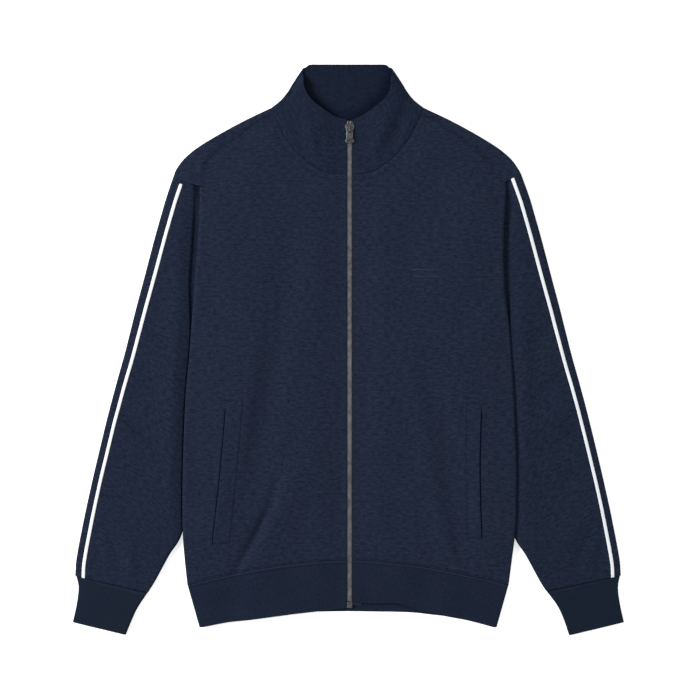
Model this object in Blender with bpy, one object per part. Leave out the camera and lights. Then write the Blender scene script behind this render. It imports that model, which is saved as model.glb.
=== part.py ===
"""A zip-through funnel-neck cardigan in sweatshirt jersey, laid flat with its front up.

Frame: +Z up, collar towards +Y, the wearer's left at +X. The origin is on the surface that it
lies on, in the middle of the space that it takes up. Every size in this file is in millimetres,
and the meshes are made in metres. A "drop" is a distance down from the top of the collar.
"""

import math
from collections import namedtuple

import bmesh
import bpy
from mathutils import Vector

MM = 0.001
RIGHT = -1  # the wearer's right, at -X
LEFT = 1
HAND_NAME = {RIGHT: "right", LEFT: "left"}

# Driving sizes
LENGTH = 786.0  # top of the collar to the end of the cuffs, as it lies
GAP = 0.3  # between pieces that are sewn or lie together
JERSEY = 1.5  # wall of the body and sleeves
DOUBLED = 2.0  # wall of the collar, cuffs and hem, which are folded double
TAPE = 1.0  # wall of the zip tapes, sleeve stripes and pocket welts
FRONT_UNDER = 3.6  # underside of the front, where it lies on the zip tapes
SLEEVE_FLAT = 3.4  # height of a sleeve pressed flat under the body's side
TUCK_LIFT = SLEEVE_FLAT + GAP  # how far the body's side is lifted by the sleeve under it
ARMPIT_DROP = 374.0
ARMPIT_TUCK = 64.0  # the armpit lies this far inside the body's visible side
COLLAR_DROP_BACK = 80.5  # height of the collar at the middle of the back
ROWS = 17  # rows of faces from the hem seam to the shoulder
NECK_COLUMNS = 8
SHOULDER_COLUMNS = 7
TURN_RADIUS = 2.6  # of the body's side fold and the shoulder fold
HALF_TURN = (90, 45, 0, -45, -90)
BACK_NECK_COLUMNS = 4
NECK_SHARE = 0.47  # of the back's half width, where its neck ends and its shoulder begins
COLLAR_ROWS = 6
HEM_ROWS = 3
SWELL_RAMP = 30.0  # the sleeve swells to its full height this far outside the body
COLLAR_SWELL = 1.2
STRIPE_COLUMN = 8  # the stripe lies between this column of the sleeve and the next
STRIPE_START = 0.25  # share of the first row of the sleeve that is left bare above the stripe
WELT_GAP = 0.45
FRONT_RAMP = 84.0  # the front and the back slope up to the lifted side over these widths
BACK_RAMP = 30.0
LIFT_REACH = 26.0  # the cloth is at its full lift this far before the sleeve's inner line
LIFT_SHARE_SHOULDER = 0.5  # of the full lift, where the shoulder's slope ends
LIFT_SHOULDER = (90.0, 155.0, 190.0)  # drops where the lift starts, has that share and is full
LIFT_HEM = (655.0, 720.0)  # drops where the lift starts to end and where it has ended
LIFT_ARMPIT = (289.0, 349.0)  # drops between which the back starts to rise over the sleeve
ZIP_FLAT = 12.0  # beside the zip, folds and swelling start this far out
ZIP_RAMP = 20.0
FOLD_FADE = 0.35  # height of a fold at its ends, as a share of its middle
BACK_TOP_SHARE = 0.05  # the back's first full row lies this share below its top edge

# The zip
ZIP_X = 2.9
ZIP_EDGE = 4.6  # from the zip's middle to the edge of each front
CHAIN_HALF = 3.45
TAPE_LOW = 2.3
TAPE_OUT = 17.0
STOP_DROP = 78.2
SLIDER_DROP = 82.0
SLIDER_LENGTH = 11.6
CHAIN_END_DROP = 742.0
BOX_LENGTH = 9.0
PULL_AXIS_DROP = 87.5
PULL_AXIS_HEIGHT = 7.9
PULL_END_DROP = 110.2
PULL_WALL = 1.2

# Half widths of the body's visible side, for the wearer's right and left
Side = namedtuple("Side", "drop right left")
BODY_SIDE = (
    Side(150.0, 206.5, 214.0),
    Side(164.0, 208.0, 217.5),
    Side(190.0, 209.5, 221.2),
    Side(228.0, 212.0, 221.7),
    Side(313.0, 220.0, 224.0),
    Side(406.0, 225.0, 229.5),
    Side(505.0, 227.8, 233.0),
    Side(574.0, 228.8, 233.4),
    Side(643.0, 228.2, 230.4),
    Side(684.0, 225.0, 224.8),
    Side(719.0, 221.3, 221.5),
)

# Where the shoulder ends: on the outline, and where the armhole meets the body's side
ShoulderEnd = namedtuple("ShoulderEnd", "outline_x outline_drop corner_drop")
SHOULDER_END = {
    RIGHT: ShoulderEnd(241.2, 158.0, 170.0),
    LEFT: ShoulderEnd(239.4, 151.0, 164.0),
}

# How far the front is turned under at the side seam, below the armpit
Turn = namedtuple("Turn", "drop depth")
TURN_UNDER = (
    Turn(374.0, 64.0),
    Turn(430.0, 48.0),
    Turn(480.0, 36.0),
    Turn(540.0, 28.0),
    Turn(600.0, 25.0),
    Turn(660.0, 22.0),
    Turn(719.0, 20.0),
)

# Outlines and seams of one half, as distances from the middle and drops
Point = namedtuple("Point", "x drop")
SHOULDER_OUTLINE = (
    Point(106.0, 60.5),
    Point(141.4, 77.3),
    Point(167.1, 91.0),
    Point(191.1, 104.9),
    Point(212.0, 118.7),
    Point(227.3, 132.5),
    Point(237.0, 146.3),
)
FRONT_NECK = (
    Point(7.5, 152.0),
    Point(24.0, 150.5),
    Point(40.0, 145.5),
    Point(53.0, 136.6),
    Point(66.7, 125.0),
    Point(77.5, 113.0),
    Point(86.0, 101.0),
    Point(93.2, 87.5),
    Point(101.5, 69.5),
)
BACK_NECK = (
    Point(0.0, COLLAR_DROP_BACK),
    Point(35.0, 79.0),
    Point(70.0, 72.5),
)
FORWARD_SHOULDER = (
    Point(101.5, 69.5),
    Point(119.0, 75.5),
    Point(138.0, 89.5),
    Point(166.0, 109.5),
    Point(192.0, 129.5),
    Point(204.0, 144.0),
)
HEM_SEAM = (
    Point(0.0, 685.0),
    Point(31.0, 686.0),
    Point(61.0, 688.5),
    Point(96.0, 692.5),
    Point(130.0, 698.0),
    Point(153.0, 702.5),
    Point(180.0, 708.5),
    Point(201.0, 713.0),
    Point(222.0, 719.0),
)
HemEdge = namedtuple("HemEdge", "x front_right front_left back")
HEM_EDGE = (
    HemEdge(0.0, 750.0, 744.0, 754.5),
    HemEdge(40.0, 754.0, 744.5, 755.0),
    HemEdge(72.0, 757.5, 744.6, 755.5),
    HemEdge(95.0, 760.5, 752.0, 757.0),
    HemEdge(112.0, 762.8, 756.8, 759.0),
    HemEdge(140.0, 766.8, 762.0, 762.5),
    HemEdge(168.0, 770.5, 767.6, 768.0),
    HemEdge(204.5, 777.0, 777.0, 777.0),
)
HEM_CORNER_X = 204.5
HEM_CORNER_DROP = 777.0

# Collar: the fold at each side, and the front's top edge from that fold to the zip
COLLAR_FOLD = (
    Point(106.0, 60.5),
    Point(92.4, 49.7),
    Point(83.2, 38.6),
    Point(76.5, 27.6),
    Point(69.4, 16.6),
    Point(62.0, 6.0),
)
COLLAR_OPENING = (
    Point(62.0, 6.0),
    Point(61.8, 18.0),
    Point(59.4, 33.0),
    Point(53.5, 45.0),
    Point(45.0, 54.0),
    Point(32.0, 63.5),
    Point(19.0, 71.5),
    Point(7.5, 76.6),
)
COLLAR_BACK_TOP = (Point(0.0, 0.0), Point(40.0, 0.0), Point(56.0, 0.6), Point(60.0, 3.0))

# Sleeve: a section at each row, from its outer edge to its inner one. The last two columns are
# the height of the upper layer where the body covers it, and how much it swells where it shows.
Section = namedtuple("Section", "outer_x outer_drop inner_x inner_drop base swell")
SLEEVE_TUBE = (
    Section(373.7, 705.5, 282.5, 734.0, 5.0, 0.0),
    Section(373.9, 684.5, 266.5, 714.0, 4.4, 1.2),
    Section(364.5, 630.0, 246.0, 678.0, 3.4, 2.8),
    Section(353.0, 577.0, 230.0, 652.0, 3.4, 2.8),
    Section(342.0, 530.0, 217.0, 606.0, 3.4, 2.8),
    Section(330.5, 483.0, 202.0, 560.0, 3.4, 2.8),
    Section(318.5, 438.0, 188.0, 512.0, 3.4, 2.8),
    Section(308.6, 402.5, 176.0, 464.0, 3.4, 2.8),
    Section(300.8, 372.0, 167.0, 418.0, 3.4, 2.8),
)
CapSection = namedtuple("CapSection", "outer_x outer_drop inner_drop base swell")
SLEEVE_CAP = (
    CapSection(292.8, 340.0, 374.0, 3.4, 2.8),
    CapSection(283.6, 305.5, 330.0, 3.4, 2.8),
    CapSection(274.0, 269.0, 290.0, 3.4, 2.8),
    CapSection(265.0, 235.0, 255.0, 3.4, 2.8),
    CapSection(257.3, 208.0, 222.0, 3.4, 2.6),
    CapSection(250.6, 185.0, 190.0, 3.4, 2.6),
)
CAP_TOP_HEIGHT = 6.9

# Cuff, from its seam to its end
CUFF = (
    Section(373.8, 705.9, 282.6, 734.4, 5.4, 0.0),
    Section(370.4, 722.0, 289.5, 747.5, 5.4, 0.0),
    Section(372.6, 744.0, 298.0, 763.0, 5.2, 0.0),
    Section(378.0, 768.5, 307.0, 785.8, 5.0, 0.0),
)

# Sleeve stripe, measured in from the sleeve's outer edge
STRIPE_OUT = 9.0
STRIPE_WIDTH = 6.0
STRIPE_CELL = (7.5, 16.5)  # the sleeve's columns on each side of the stripe

# Pocket welts: the inner stitched edge and the open outer edge
Welt = namedtuple("Welt", "drop inner_x outer_x")
POCKET_WELT = {
    RIGHT: (Welt(466.0, 144.5, 166.5), Welt(560.0, 153.0, 174.5), Welt(660.0, 163.0, 185.5)),
    LEFT: (Welt(466.0, 164.5, 184.5), Welt(560.0, 163.5, 183.0), Welt(656.0, 165.5, 186.5)),
}
WELT_ROWS = 8

# The largest folds of the front and collar: soft troughs and ridges along straight stretches
Fold = namedtuple("Fold", "x_start drop_start x_end drop_end half_width height")
FOLDS = (
    Fold(-85.0, 305.0, -105.0, 437.0, 17.0, -1.2),
    Fold(-105.0, 437.0, -143.0, 603.0, 17.0, -1.4),
    Fold(-62.0, 520.0, -128.0, 690.0, 15.0, 1.2),
    Fold(-107.0, 595.0, -156.0, 698.0, 11.0, -1.1),
    Fold(120.0, 415.0, 149.0, 600.0, 17.0, -1.4),
    Fold(145.0, 640.0, 150.0, 700.0, 13.0, 1.1),
    Fold(73.0, 82.0, 52.0, 138.0, 8.0, -0.9),
    Fold(-80.0, 70.0, -58.0, 120.0, 10.0, -0.8),
)

# Colour, roughness and metallic value of each finish
Finish = namedtuple("Finish", "red green blue roughness metallic")
FINISHES = {
    "body_jersey": Finish(0.019, 0.026, 0.046, 0.92, 0.0),
    "rib_jersey": Finish(0.015, 0.022, 0.040, 0.9, 0.0),
    "stripe_tape": Finish(0.80, 0.83, 0.86, 0.8, 0.0),
    "zip_tape": Finish(0.010, 0.012, 0.018, 0.85, 0.0),
    "zip_teeth": Finish(0.12, 0.12, 0.12, 0.4, 0.9),
    "zip_metal": Finish(0.22, 0.21, 0.20, 0.35, 1.0),
}


def ease(value):
    """0 to 1, with a smooth start and end."""
    share = min(max(value, 0.0), 1.0)
    return share * share * (3.0 - 2.0 * share)


def ramp(value, start, end):
    """0 at the start and 1 at the end, smoothly."""
    return ease((value - start) / (end - start))


def blend(start, end, share):
    return start + (end - start) * share


def hermite(keys, values, key):
    """The value at a key, on a smooth curve through the given values."""
    if key <= keys[0]:
        return values[0]
    if key >= keys[-1]:
        return values[-1]
    last = len(keys) - 1
    step = max(index for index in range(last) if keys[index] <= key)
    slopes = []
    for index in (step, step + 1):
        before = max(index - 1, 0)
        after = min(index + 1, last)
        slopes.append((values[after] - values[before]) / (keys[after] - keys[before]))
    span = keys[step + 1] - keys[step]
    t = (key - keys[step]) / span
    rise = values[step + 1] - values[step]
    bend = (slopes[0] + slopes[1]) * span - 2.0 * rise
    return values[step] + t * (slopes[0] * span + t * (rise - slopes[0] * span - bend + t * bend))


def read(table, column, key):
    """A column of a table at a key of its first column."""
    return hermite([row[0] for row in table], [getattr(row, column) for row in table], key)


def along(points, shares):
    """Points at shares of the length of a smooth path through the given points."""
    lengths = [0.0]
    for start, end in zip(points, points[1:]):
        lengths.append(lengths[-1] + math.dist(start, end))
    places = [share * lengths[-1] for share in shares]
    xs = [point.x for point in points]
    drops = [point.drop for point in points]
    return [Point(hermite(lengths, xs, place), hermite(lengths, drops, place)) for place in places]


def even(count):
    return [index / (count - 1) for index in range(count)]


def side_x(drop, hand):
    return read(BODY_SIDE, HAND_NAME[hand], drop)


def edge_drop(hand, share):
    """Drops of the rows at the body's side, shared by the front and the back."""
    return blend(SHOULDER_END[hand].corner_drop + GAP, HEM_SEAM[-1].drop, share)


def under_start_drop(hand):
    """From here down, at the second row, the sleeve's inner part goes under the body."""
    return edge_drop(hand, 1.0 / ROWS)


def armhole_x(drop, hand):
    """The armhole seam: beside the body at the shoulder, then straight to the armpit under it."""
    start = under_start_drop(hand)
    if drop <= start:
        return side_x(drop, hand) + GAP
    top = side_x(start, hand) + GAP
    armpit = side_x(ARMPIT_DROP, hand) - ARMPIT_TUCK
    return blend(top, armpit, (drop - start) / (ARMPIT_DROP - start))


def back_edge_x(drop, hand):
    """The back's side edge: the armhole, then the side seam."""
    if drop <= ARMPIT_DROP:
        return armhole_x(drop, hand)
    return side_x(drop, hand) - read(TURN_UNDER, "depth", drop)


def sleeve_inner_x(drop, hand):
    """The sleeve's inner line under the body."""
    if drop <= ARMPIT_DROP:
        return armhole_x(drop, hand)
    rows = sorted(SLEEVE_TUBE, key=lambda row: row.inner_drop)
    drops = [ARMPIT_DROP] + [row.inner_drop for row in rows]
    widths = [armhole_x(ARMPIT_DROP, hand)] + [row.inner_x for row in rows]
    return hermite(drops, widths, drop)


def lift(x, drop, reach):
    """How far the sleeve under the body's side lifts the cloth above it."""
    hand = RIGHT if x < 0.0 else LEFT
    across = ease((abs(x) - sleeve_inner_x(drop, hand) + LIFT_REACH + reach) / reach)
    start, slope_end, full = LIFT_SHOULDER
    slope = LIFT_SHARE_SHOULDER * ramp(drop, start, slope_end)
    shoulder = blend(slope, 1.0, ramp(drop, slope_end, full))
    return TUCK_LIFT * across * shoulder * (1.0 - ramp(drop, *LIFT_HEM))


def zip_clearance(x):
    """0 beside the zip, where the cloth lies flat on its tapes, to 1 away from it."""
    return ease((abs(x - ZIP_X) - ZIP_FLAT) / ZIP_RAMP)


def fold_height(x, drop):
    """The height that the folds add at a place on the front."""
    total = 0.0
    for fold in FOLDS:
        run_x = fold.x_end - fold.x_start
        run_drop = fold.drop_end - fold.drop_start
        share = (x - fold.x_start) * run_x + (drop - fold.drop_start) * run_drop
        share /= run_x * run_x + run_drop * run_drop
        held = min(max(share, 0.0), 1.0)
        away = math.hypot(x - fold.x_start - held * run_x, drop - fold.drop_start - held * run_drop)
        fade = blend(FOLD_FADE, 1.0, math.sin(math.pi * held))
        total += fold.height * fade * math.exp(-((away / fold.half_width) ** 2))
    return total * zip_clearance(x)


def front_under(x, drop):
    """The underside of the front where it lies on the zip and the back."""
    return FRONT_UNDER + lift(x, drop, FRONT_RAMP) + fold_height(x, drop)


def back_lift(x, drop):
    """The back rises over the sleeve only below the armpit."""
    return lift(x, drop, BACK_RAMP) * ramp(drop, *LIFT_ARMPIT)


def turned_edge(centre, outward, low, high, wall, angles):
    """Pairs of outer and inner points round a fold, for angles from 90 (top) to -90 (underside)."""
    radius = (high - low) / 2.0
    pairs = []
    for angle in angles:
        reach = math.cos(math.radians(angle))
        rise = math.sin(math.radians(angle))
        pair = []
        for size in (radius, radius - wall):
            x = centre.x + outward.x * reach * size
            drop = centre.drop + outward.drop * reach * size
            pair.append((x, drop, low + radius + rise * size))
        pairs.append(tuple(pair))
    return pairs


def flat_pair(x, drop, outer, inner):
    return ((x, drop, outer), (x, drop, inner))


def zip_edge_x(hand):
    """The edge of one front or collar end beside the zip, as a distance from the middle."""
    return ZIP_X * hand + ZIP_EDGE


def neck_points(hand):
    """The front neck seam, from the zip to the forward shoulder seam."""
    start = Point(zip_edge_x(hand), FRONT_NECK[0].drop)
    return along((start,) + FRONT_NECK[1:], even(NECK_COLUMNS))


def shoulder_points(hand):
    """The forward shoulder seam, from the neck seam to the body's side."""
    corner_drop = SHOULDER_END[hand].corner_drop
    corner = Point(side_x(corner_drop, hand) - TURN_RADIUS, corner_drop)
    return along(FORWARD_SHOULDER + (corner,), even(SHOULDER_COLUMNS))


def front_grid(hand):
    """Rows from the shoulder to the hem seam; columns from the zip, round the side, to the seam."""
    tops = neck_points(hand) + shoulder_points(hand)[1:]
    start_x = zip_edge_x(hand)
    grid = []
    for row in range(ROWS + 1):
        share = row / ROWS
        pairs = []
        for top in tops:
            across = (top.x - start_x) / (tops[-1].x - start_x)
            hem_x = blend(start_x, side_x(HEM_SEAM[-1].drop, hand) - TURN_RADIUS, across)
            drop = blend(top.drop + GAP, read(HEM_SEAM, "drop", hem_x), share)
            if across == 1.0:
                drop = edge_drop(hand, share)
            x = blend(start_x, side_x(drop, hand) - TURN_RADIUS, across) if row else top.x
            under = front_under(x * hand, drop)
            pairs.append(flat_pair(x * hand, drop, under + JERSEY, under))
        pairs += side_turn(hand, pairs.pop(), share, JERSEY)
        grid.append(pairs)
    return grid


def side_turn(hand, top_pair, share, wall_thickness):
    """The front's last columns: round the side fold and back underneath to the side seam."""
    drop = edge_drop(hand, share)
    edge = side_x(drop, hand)
    low = lift(edge * hand, drop, BACK_RAMP)
    high = top_pair[0][2]
    radius = (high - low) / 2.0
    centre = Point((edge - radius) * hand, drop)
    pairs = turned_edge(centre, Point(hand, 0.0), low, high, wall_thickness, HALF_TURN)
    seam = min(back_edge_x(drop, hand) + GAP, edge - radius - 2.0)
    for part in (0.5, 1.0):
        x = blend(edge - radius, seam, part)
        height = lift(x * hand, drop, BACK_RAMP)
        pairs.append(flat_pair(x * hand, drop, height, height + wall_thickness))
    return pairs


def to_frame(point):
    """Millimetres from the middle and from the collar's top, to metres in the part's frame."""
    x, drop, height = point
    return (x * MM, (LENGTH / 2.0 - drop) * MM, height * MM)


def finish(name, bm, finish_name, smooth=True):
    """An object from a bmesh, with its own material."""
    bmesh.ops.recalc_face_normals(bm, faces=bm.faces)
    mesh = bpy.data.meshes.new(name)
    bm.to_mesh(mesh)
    bm.free()
    if smooth:
        mesh.shade_smooth()
        mesh.set_sharp_from_angle(angle=math.radians(40))
    look = FINISHES[finish_name]
    material = bpy.data.materials.new(f"{name}_{finish_name}")
    material.use_nodes = True
    shader = material.node_tree.nodes["Principled BSDF"]
    shader.inputs["Base Color"].default_value = (look.red, look.green, look.blue, 1.0)
    shader.inputs["Roughness"].default_value = look.roughness
    shader.inputs["Metallic"].default_value = look.metallic
    mesh.materials.append(material)
    obj = bpy.data.objects.new(name, mesh)
    bpy.context.scene.collection.objects.link(obj)
    return obj


def cloth(name, grid, finish_name):
    """A closed wall of cloth from rows of (outer, inner) points; None leaves a place out."""
    bm = bmesh.new()
    known = ({}, {})
    partner = {}

    def skin_vertex(pair, skin):
        key = tuple(round(value, 3) for value in pair[skin])
        if key not in known[skin]:
            known[skin][key] = bm.verts.new(to_frame(pair[skin]))
        return known[skin][key]

    for row, below in zip(grid, grid[1:]):
        for column in range(len(row) - 1):
            corners = (row[column], row[column + 1], below[column + 1], below[column])
            if None in corners:
                continue
            skins = [[skin_vertex(pair, skin) for pair in corners] for skin in (0, 1)]
            partner.update(zip(skins[0], skins[1]))
            bm.faces.new(skins[0])
            bm.faces.new(reversed(skins[1]))
    rim = [edge for edge in bm.edges if edge.is_boundary and edge.verts[0] in partner]
    for edge in rim:
        start, end = edge.verts
        bm.faces.new((start, end, partner[end], partner[start]))
    bmesh.ops.triangulate(bm, faces=bm.faces)
    return finish(name, bm, finish_name)


def shoulder_outline(hand):
    """The shoulder's fold line, with one point for each column of the shoulder seam."""
    end = SHOULDER_END[hand]
    points = SHOULDER_OUTLINE + (Point(end.outline_x, end.outline_drop),)
    return along(points, even(SHOULDER_COLUMNS))


def outward(points, index):
    """The unit vector away from the cloth, square to a line that runs away from the neck."""
    start = points[max(index - 1, 0)]
    end = points[min(index + 1, len(points) - 1)]
    length = math.dist(start, end)
    return Point((end.drop - start.drop) / length, -(end.x - start.x) / length)


def mirrored(pair, hand):
    return tuple((x * hand, drop, height) for x, drop, height in pair)


def shoulder_turn(hand, index, wall_thickness=JERSEY):
    """Round the shoulder's fold at one column, from the top to the floor layer."""
    outline = shoulder_outline(hand)
    place = outline[index]
    high = front_under(place.x * hand, place.drop) + wall_thickness
    normal = outward(outline, index)
    radius = high / 2.0
    centre = Point(place.x - normal.x * radius, place.drop - normal.drop * radius)
    pairs = turned_edge(centre, normal, 0.0, high, wall_thickness, HALF_TURN)
    return [mirrored(pair, hand) for pair in pairs]


def shoulder_column(hand, index):
    """From the forward shoulder seam, over the shoulder's fold, to the floor layer."""
    seams = shoulder_points(hand)
    normal = outward(seams, index)
    seam = seams[index]
    turn = shoulder_turn(hand, index)
    start = turn[0][0]
    pairs = []
    for share in (0.0, 0.5):
        x = blend((seam.x + normal.x * GAP) * hand, start[0], share)
        drop = blend(seam.drop + normal.drop * GAP, start[1], share)
        under = front_under(x, drop)
        pairs.append(flat_pair(x, drop, under + JERSEY, under))
    return pairs + turn


def back_neck_points(hand):
    """The back neck seam, from the middle to the shoulder's fold."""
    x, drop, _ = shoulder_turn(hand, 0)[-1][0]
    return along(BACK_NECK + (Point(abs(x), drop),), even(BACK_NECK_COLUMNS))


def back_share(index):
    """How far across the back's half width a column lies, counted from the middle."""
    shoulder = index - (BACK_NECK_COLUMNS - 1)
    if shoulder >= 0:
        return blend(NECK_SHARE, 1.0, shoulder / (SHOULDER_COLUMNS - 1))
    return NECK_SHARE * index / (BACK_NECK_COLUMNS - 1)


def back_column(hand, index):
    """One column of the back, counted from the middle, from its top to the hem seam."""
    shoulder = index - (BACK_NECK_COLUMNS - 1)
    last = BACK_NECK_COLUMNS + SHOULDER_COLUMNS - 2
    across = back_share(index)
    if shoulder >= 0:
        pairs = shoulder_column(hand, shoulder)
        _, top_drop, _ = pairs[-1][0]
    else:
        place = back_neck_points(hand)[index]
        top_drop = place.drop + GAP
        pairs = [None] * (len(HALF_TURN) + 1) + [flat_pair(place.x * hand, top_drop, 0.0, JERSEY)]
    for row in range(ROWS + 1):
        share = row / ROWS
        side_drop = edge_drop(hand, share)
        x = across * back_edge_x(side_drop, hand)
        hem_drop = read(HEM_SEAM, "drop", across * HEM_SEAM[-1].x)
        drop = blend(top_drop, hem_drop, blend(BACK_TOP_SHARE, 1.0, share))
        if index == last:
            drop = side_drop
        height = back_lift(x * hand, drop)
        pairs.append(flat_pair(x * hand, drop, height, height + JERSEY))
    return pairs


def back_grid():
    """Rows from the shoulder seams to the hem seam; columns from the right side to the left."""
    last = BACK_NECK_COLUMNS + SHOULDER_COLUMNS - 2
    columns = [back_column(RIGHT, index) for index in range(last, 0, -1)]
    columns += [back_column(LEFT, index) for index in range(last + 1)]
    return [list(row) for row in zip(*columns)]


def covered_inset(place, hand, width):
    """How far in from the sleeve's outer edge the body's side starts to cover it."""
    near, far = 0.0, width
    for _ in range(20):
        middle = (near + far) / 2.0
        spot = place(middle)
        if spot.x > side_x(spot.drop, hand):
            near = middle
        else:
            far = middle
    return far


def tube_row(hand, outer, inner, base, swell, wall_thickness, closed):
    """One section across a sleeve or cuff: its upper layer, outer fold, lower layer, inner fold."""
    width = math.dist(outer, inner)
    way = Point((outer.x - inner.x) / width, (outer.drop - inner.drop) / width)

    def place(inset):
        return Point(outer.x - way.x * inset, outer.drop - way.drop * inset)

    def top(inset):
        spot = place(inset)
        return base + swell * ease((spot.x - side_x(spot.drop, hand)) / SWELL_RAMP)

    def layer(inset, upper):
        spot = place(inset)
        if upper:
            return flat_pair(spot.x, spot.drop, top(inset), top(inset) - wall_thickness)
        return flat_pair(spot.x, spot.drop, 0.0, wall_thickness)

    outer_radius = top(STRIPE_CELL[0]) / 2.0
    outer_turn = turned_edge(
        place(outer_radius), way, 0.0, 2.0 * outer_radius, wall_thickness, HALF_TURN
    )
    inner_radius = top(width - 3.0) / 2.0
    if closed:
        back_way = Point(-way.x, -way.drop)
        inner_turn = turned_edge(
            place(width - inner_radius), back_way, 0.0, 2.0 * inner_radius, wall_thickness, HALF_TURN
        )
        upper_end = inner_turn[2::-1]
        lower_end = inner_turn[:1:-1]
    else:
        upper_end = [layer(width - step, True) for step in (0.0, 2.0, 4.0)]
        lower_end = [layer(width - step, False) for step in (4.0, 2.0, 0.0)]
    inside = width - 4.0
    hidden = min(covered_inset(place, hand, width), inside - 4.0)
    insets = [blend(inside, hidden, 0.5), hidden, hidden - 7.0, hidden - 20.0]
    insets.append((hidden - 20.0 + STRIPE_CELL[1]) / 2.0)
    upper = [layer(inset, True) for inset in insets + [STRIPE_CELL[1], STRIPE_CELL[0]]]
    lower = [layer(blend(STRIPE_CELL[1], inside, share), False) for share in (0.0, 0.4, 0.8)]
    row = upper_end + upper + outer_turn + lower + lower_end
    return [mirrored(pair, hand) for pair in row]


def sleeve_grid(hand):
    """Rows from the shoulder to the cuff seam."""
    end = SHOULDER_END[hand]
    outer = Point(end.outline_x + 0.3, end.outline_drop + 2.0 * GAP)
    inner = Point(side_x(end.corner_drop, hand) + 2.0 * GAP, end.corner_drop + 3.0 * GAP)
    rows = [tube_row(hand, outer, inner, CAP_TOP_HEIGHT, 0.0, JERSEY, False)]
    for row in reversed(SLEEVE_CAP):
        inner_drop = max(row.inner_drop, under_start_drop(hand))
        inner = Point(armhole_x(inner_drop, hand) + GAP, inner_drop)
        closed = inner_drop >= ARMPIT_DROP
        outer = Point(row.outer_x, row.outer_drop)
        rows.append(tube_row(hand, outer, inner, row.base, row.swell, JERSEY, closed))
    for row in reversed(SLEEVE_TUBE):
        outer = Point(row.outer_x, row.outer_drop)
        inner = Point(row.inner_x, row.inner_drop)
        rows.append(tube_row(hand, outer, inner, row.base, row.swell, JERSEY, True))
    return rows


def cuff_grid(hand):
    rows = []
    for row in CUFF:
        outer = Point(row.outer_x, row.outer_drop)
        inner = Point(row.inner_x, row.inner_drop)
        rows.append(tube_row(hand, outer, inner, row.base, row.swell, DOUBLED, True))
    return rows


def stripe_grid(hand, sleeve):
    """The stripe lies on the sleeve, between the two columns that run beside it."""
    inner_column = STRIPE_COLUMN
    cell = STRIPE_CELL[1] - STRIPE_CELL[0]
    shares = [(STRIPE_CELL[1] - STRIPE_OUT - step) / cell for step in (STRIPE_WIDTH, 0.0)]
    rows = []
    for index, row in enumerate(sleeve):
        inner, outer = row[inner_column][0], row[inner_column + 1][0]
        if index == 0:
            inner_below, outer_below = sleeve[1][inner_column][0], sleeve[1][inner_column + 1][0]
            inner = [blend(a, b, STRIPE_START) for a, b in zip(inner, inner_below)]
            outer = [blend(a, b, STRIPE_START) for a, b in zip(outer, outer_below)]
        pairs = []
        for share in shares:
            x, drop, height = [blend(a, b, share) for a, b in zip(inner, outer)]
            pairs.append(flat_pair(x, drop, height + GAP + TAPE, height + GAP))
        rows.append(pairs)
    return rows


def collar_under(x, drop, share):
    """The underside of the collar's front layer, which swells a little towards its top edge."""
    return front_under(x, drop) + COLLAR_SWELL * share * zip_clearance(x)


def collar_row(share):
    """One row round the collar, at a share of its height: zip, side, back, side, zip."""
    row = []
    for hand in (RIGHT, LEFT):
        fold = along(COLLAR_FOLD, even(7))
        place = along(COLLAR_FOLD, (share,))[0]
        normal = outward(list(reversed(fold)), 6 - round(share * 6))
        if share == 0.0:
            normal = outward(shoulder_outline(hand), 0)
        high = collar_under(place.x * hand, place.drop, share) + DOUBLED
        radius = high / 2.0
        gap = GAP * (1.0 - share)
        centre = Point(place.x - normal.x * radius - gap, place.drop - normal.drop * radius - gap)
        turn = turned_edge(centre, normal, 0.0, high, DOUBLED, HALF_TURN)
        start = Point(zip_edge_x(hand), COLLAR_OPENING[-1].drop)
        opening = along((start,) + tuple(reversed(COLLAR_OPENING[:-1])), even(NECK_COLUMNS + 1))
        front = []
        for low, high_point in zip(neck_points(hand), opening):
            x = blend(low.x, high_point.x, share)
            drop = blend(low.drop - GAP, high_point.drop, share)
            under = collar_under(x * hand, drop, share)
            front.append(flat_pair(x, drop, under + DOUBLED, under))
        back = []
        tops = along(COLLAR_BACK_TOP, even(BACK_NECK_COLUMNS))
        for low, high_point in list(zip(back_neck_points(hand), tops))[-2::-1]:
            x = blend(low.x, high_point.x, share)
            drop = blend(low.drop - GAP, high_point.drop, share)
            back.append(flat_pair(x, drop, 0.0, DOUBLED))
        half = [mirrored(pair, hand) for pair in front + turn + back]
        row += half if hand == RIGHT else half[-2::-1]
    return row


def collar_grid():
    return [collar_row(1.0 - index / COLLAR_ROWS) for index in range(COLLAR_ROWS + 1)]


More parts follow.
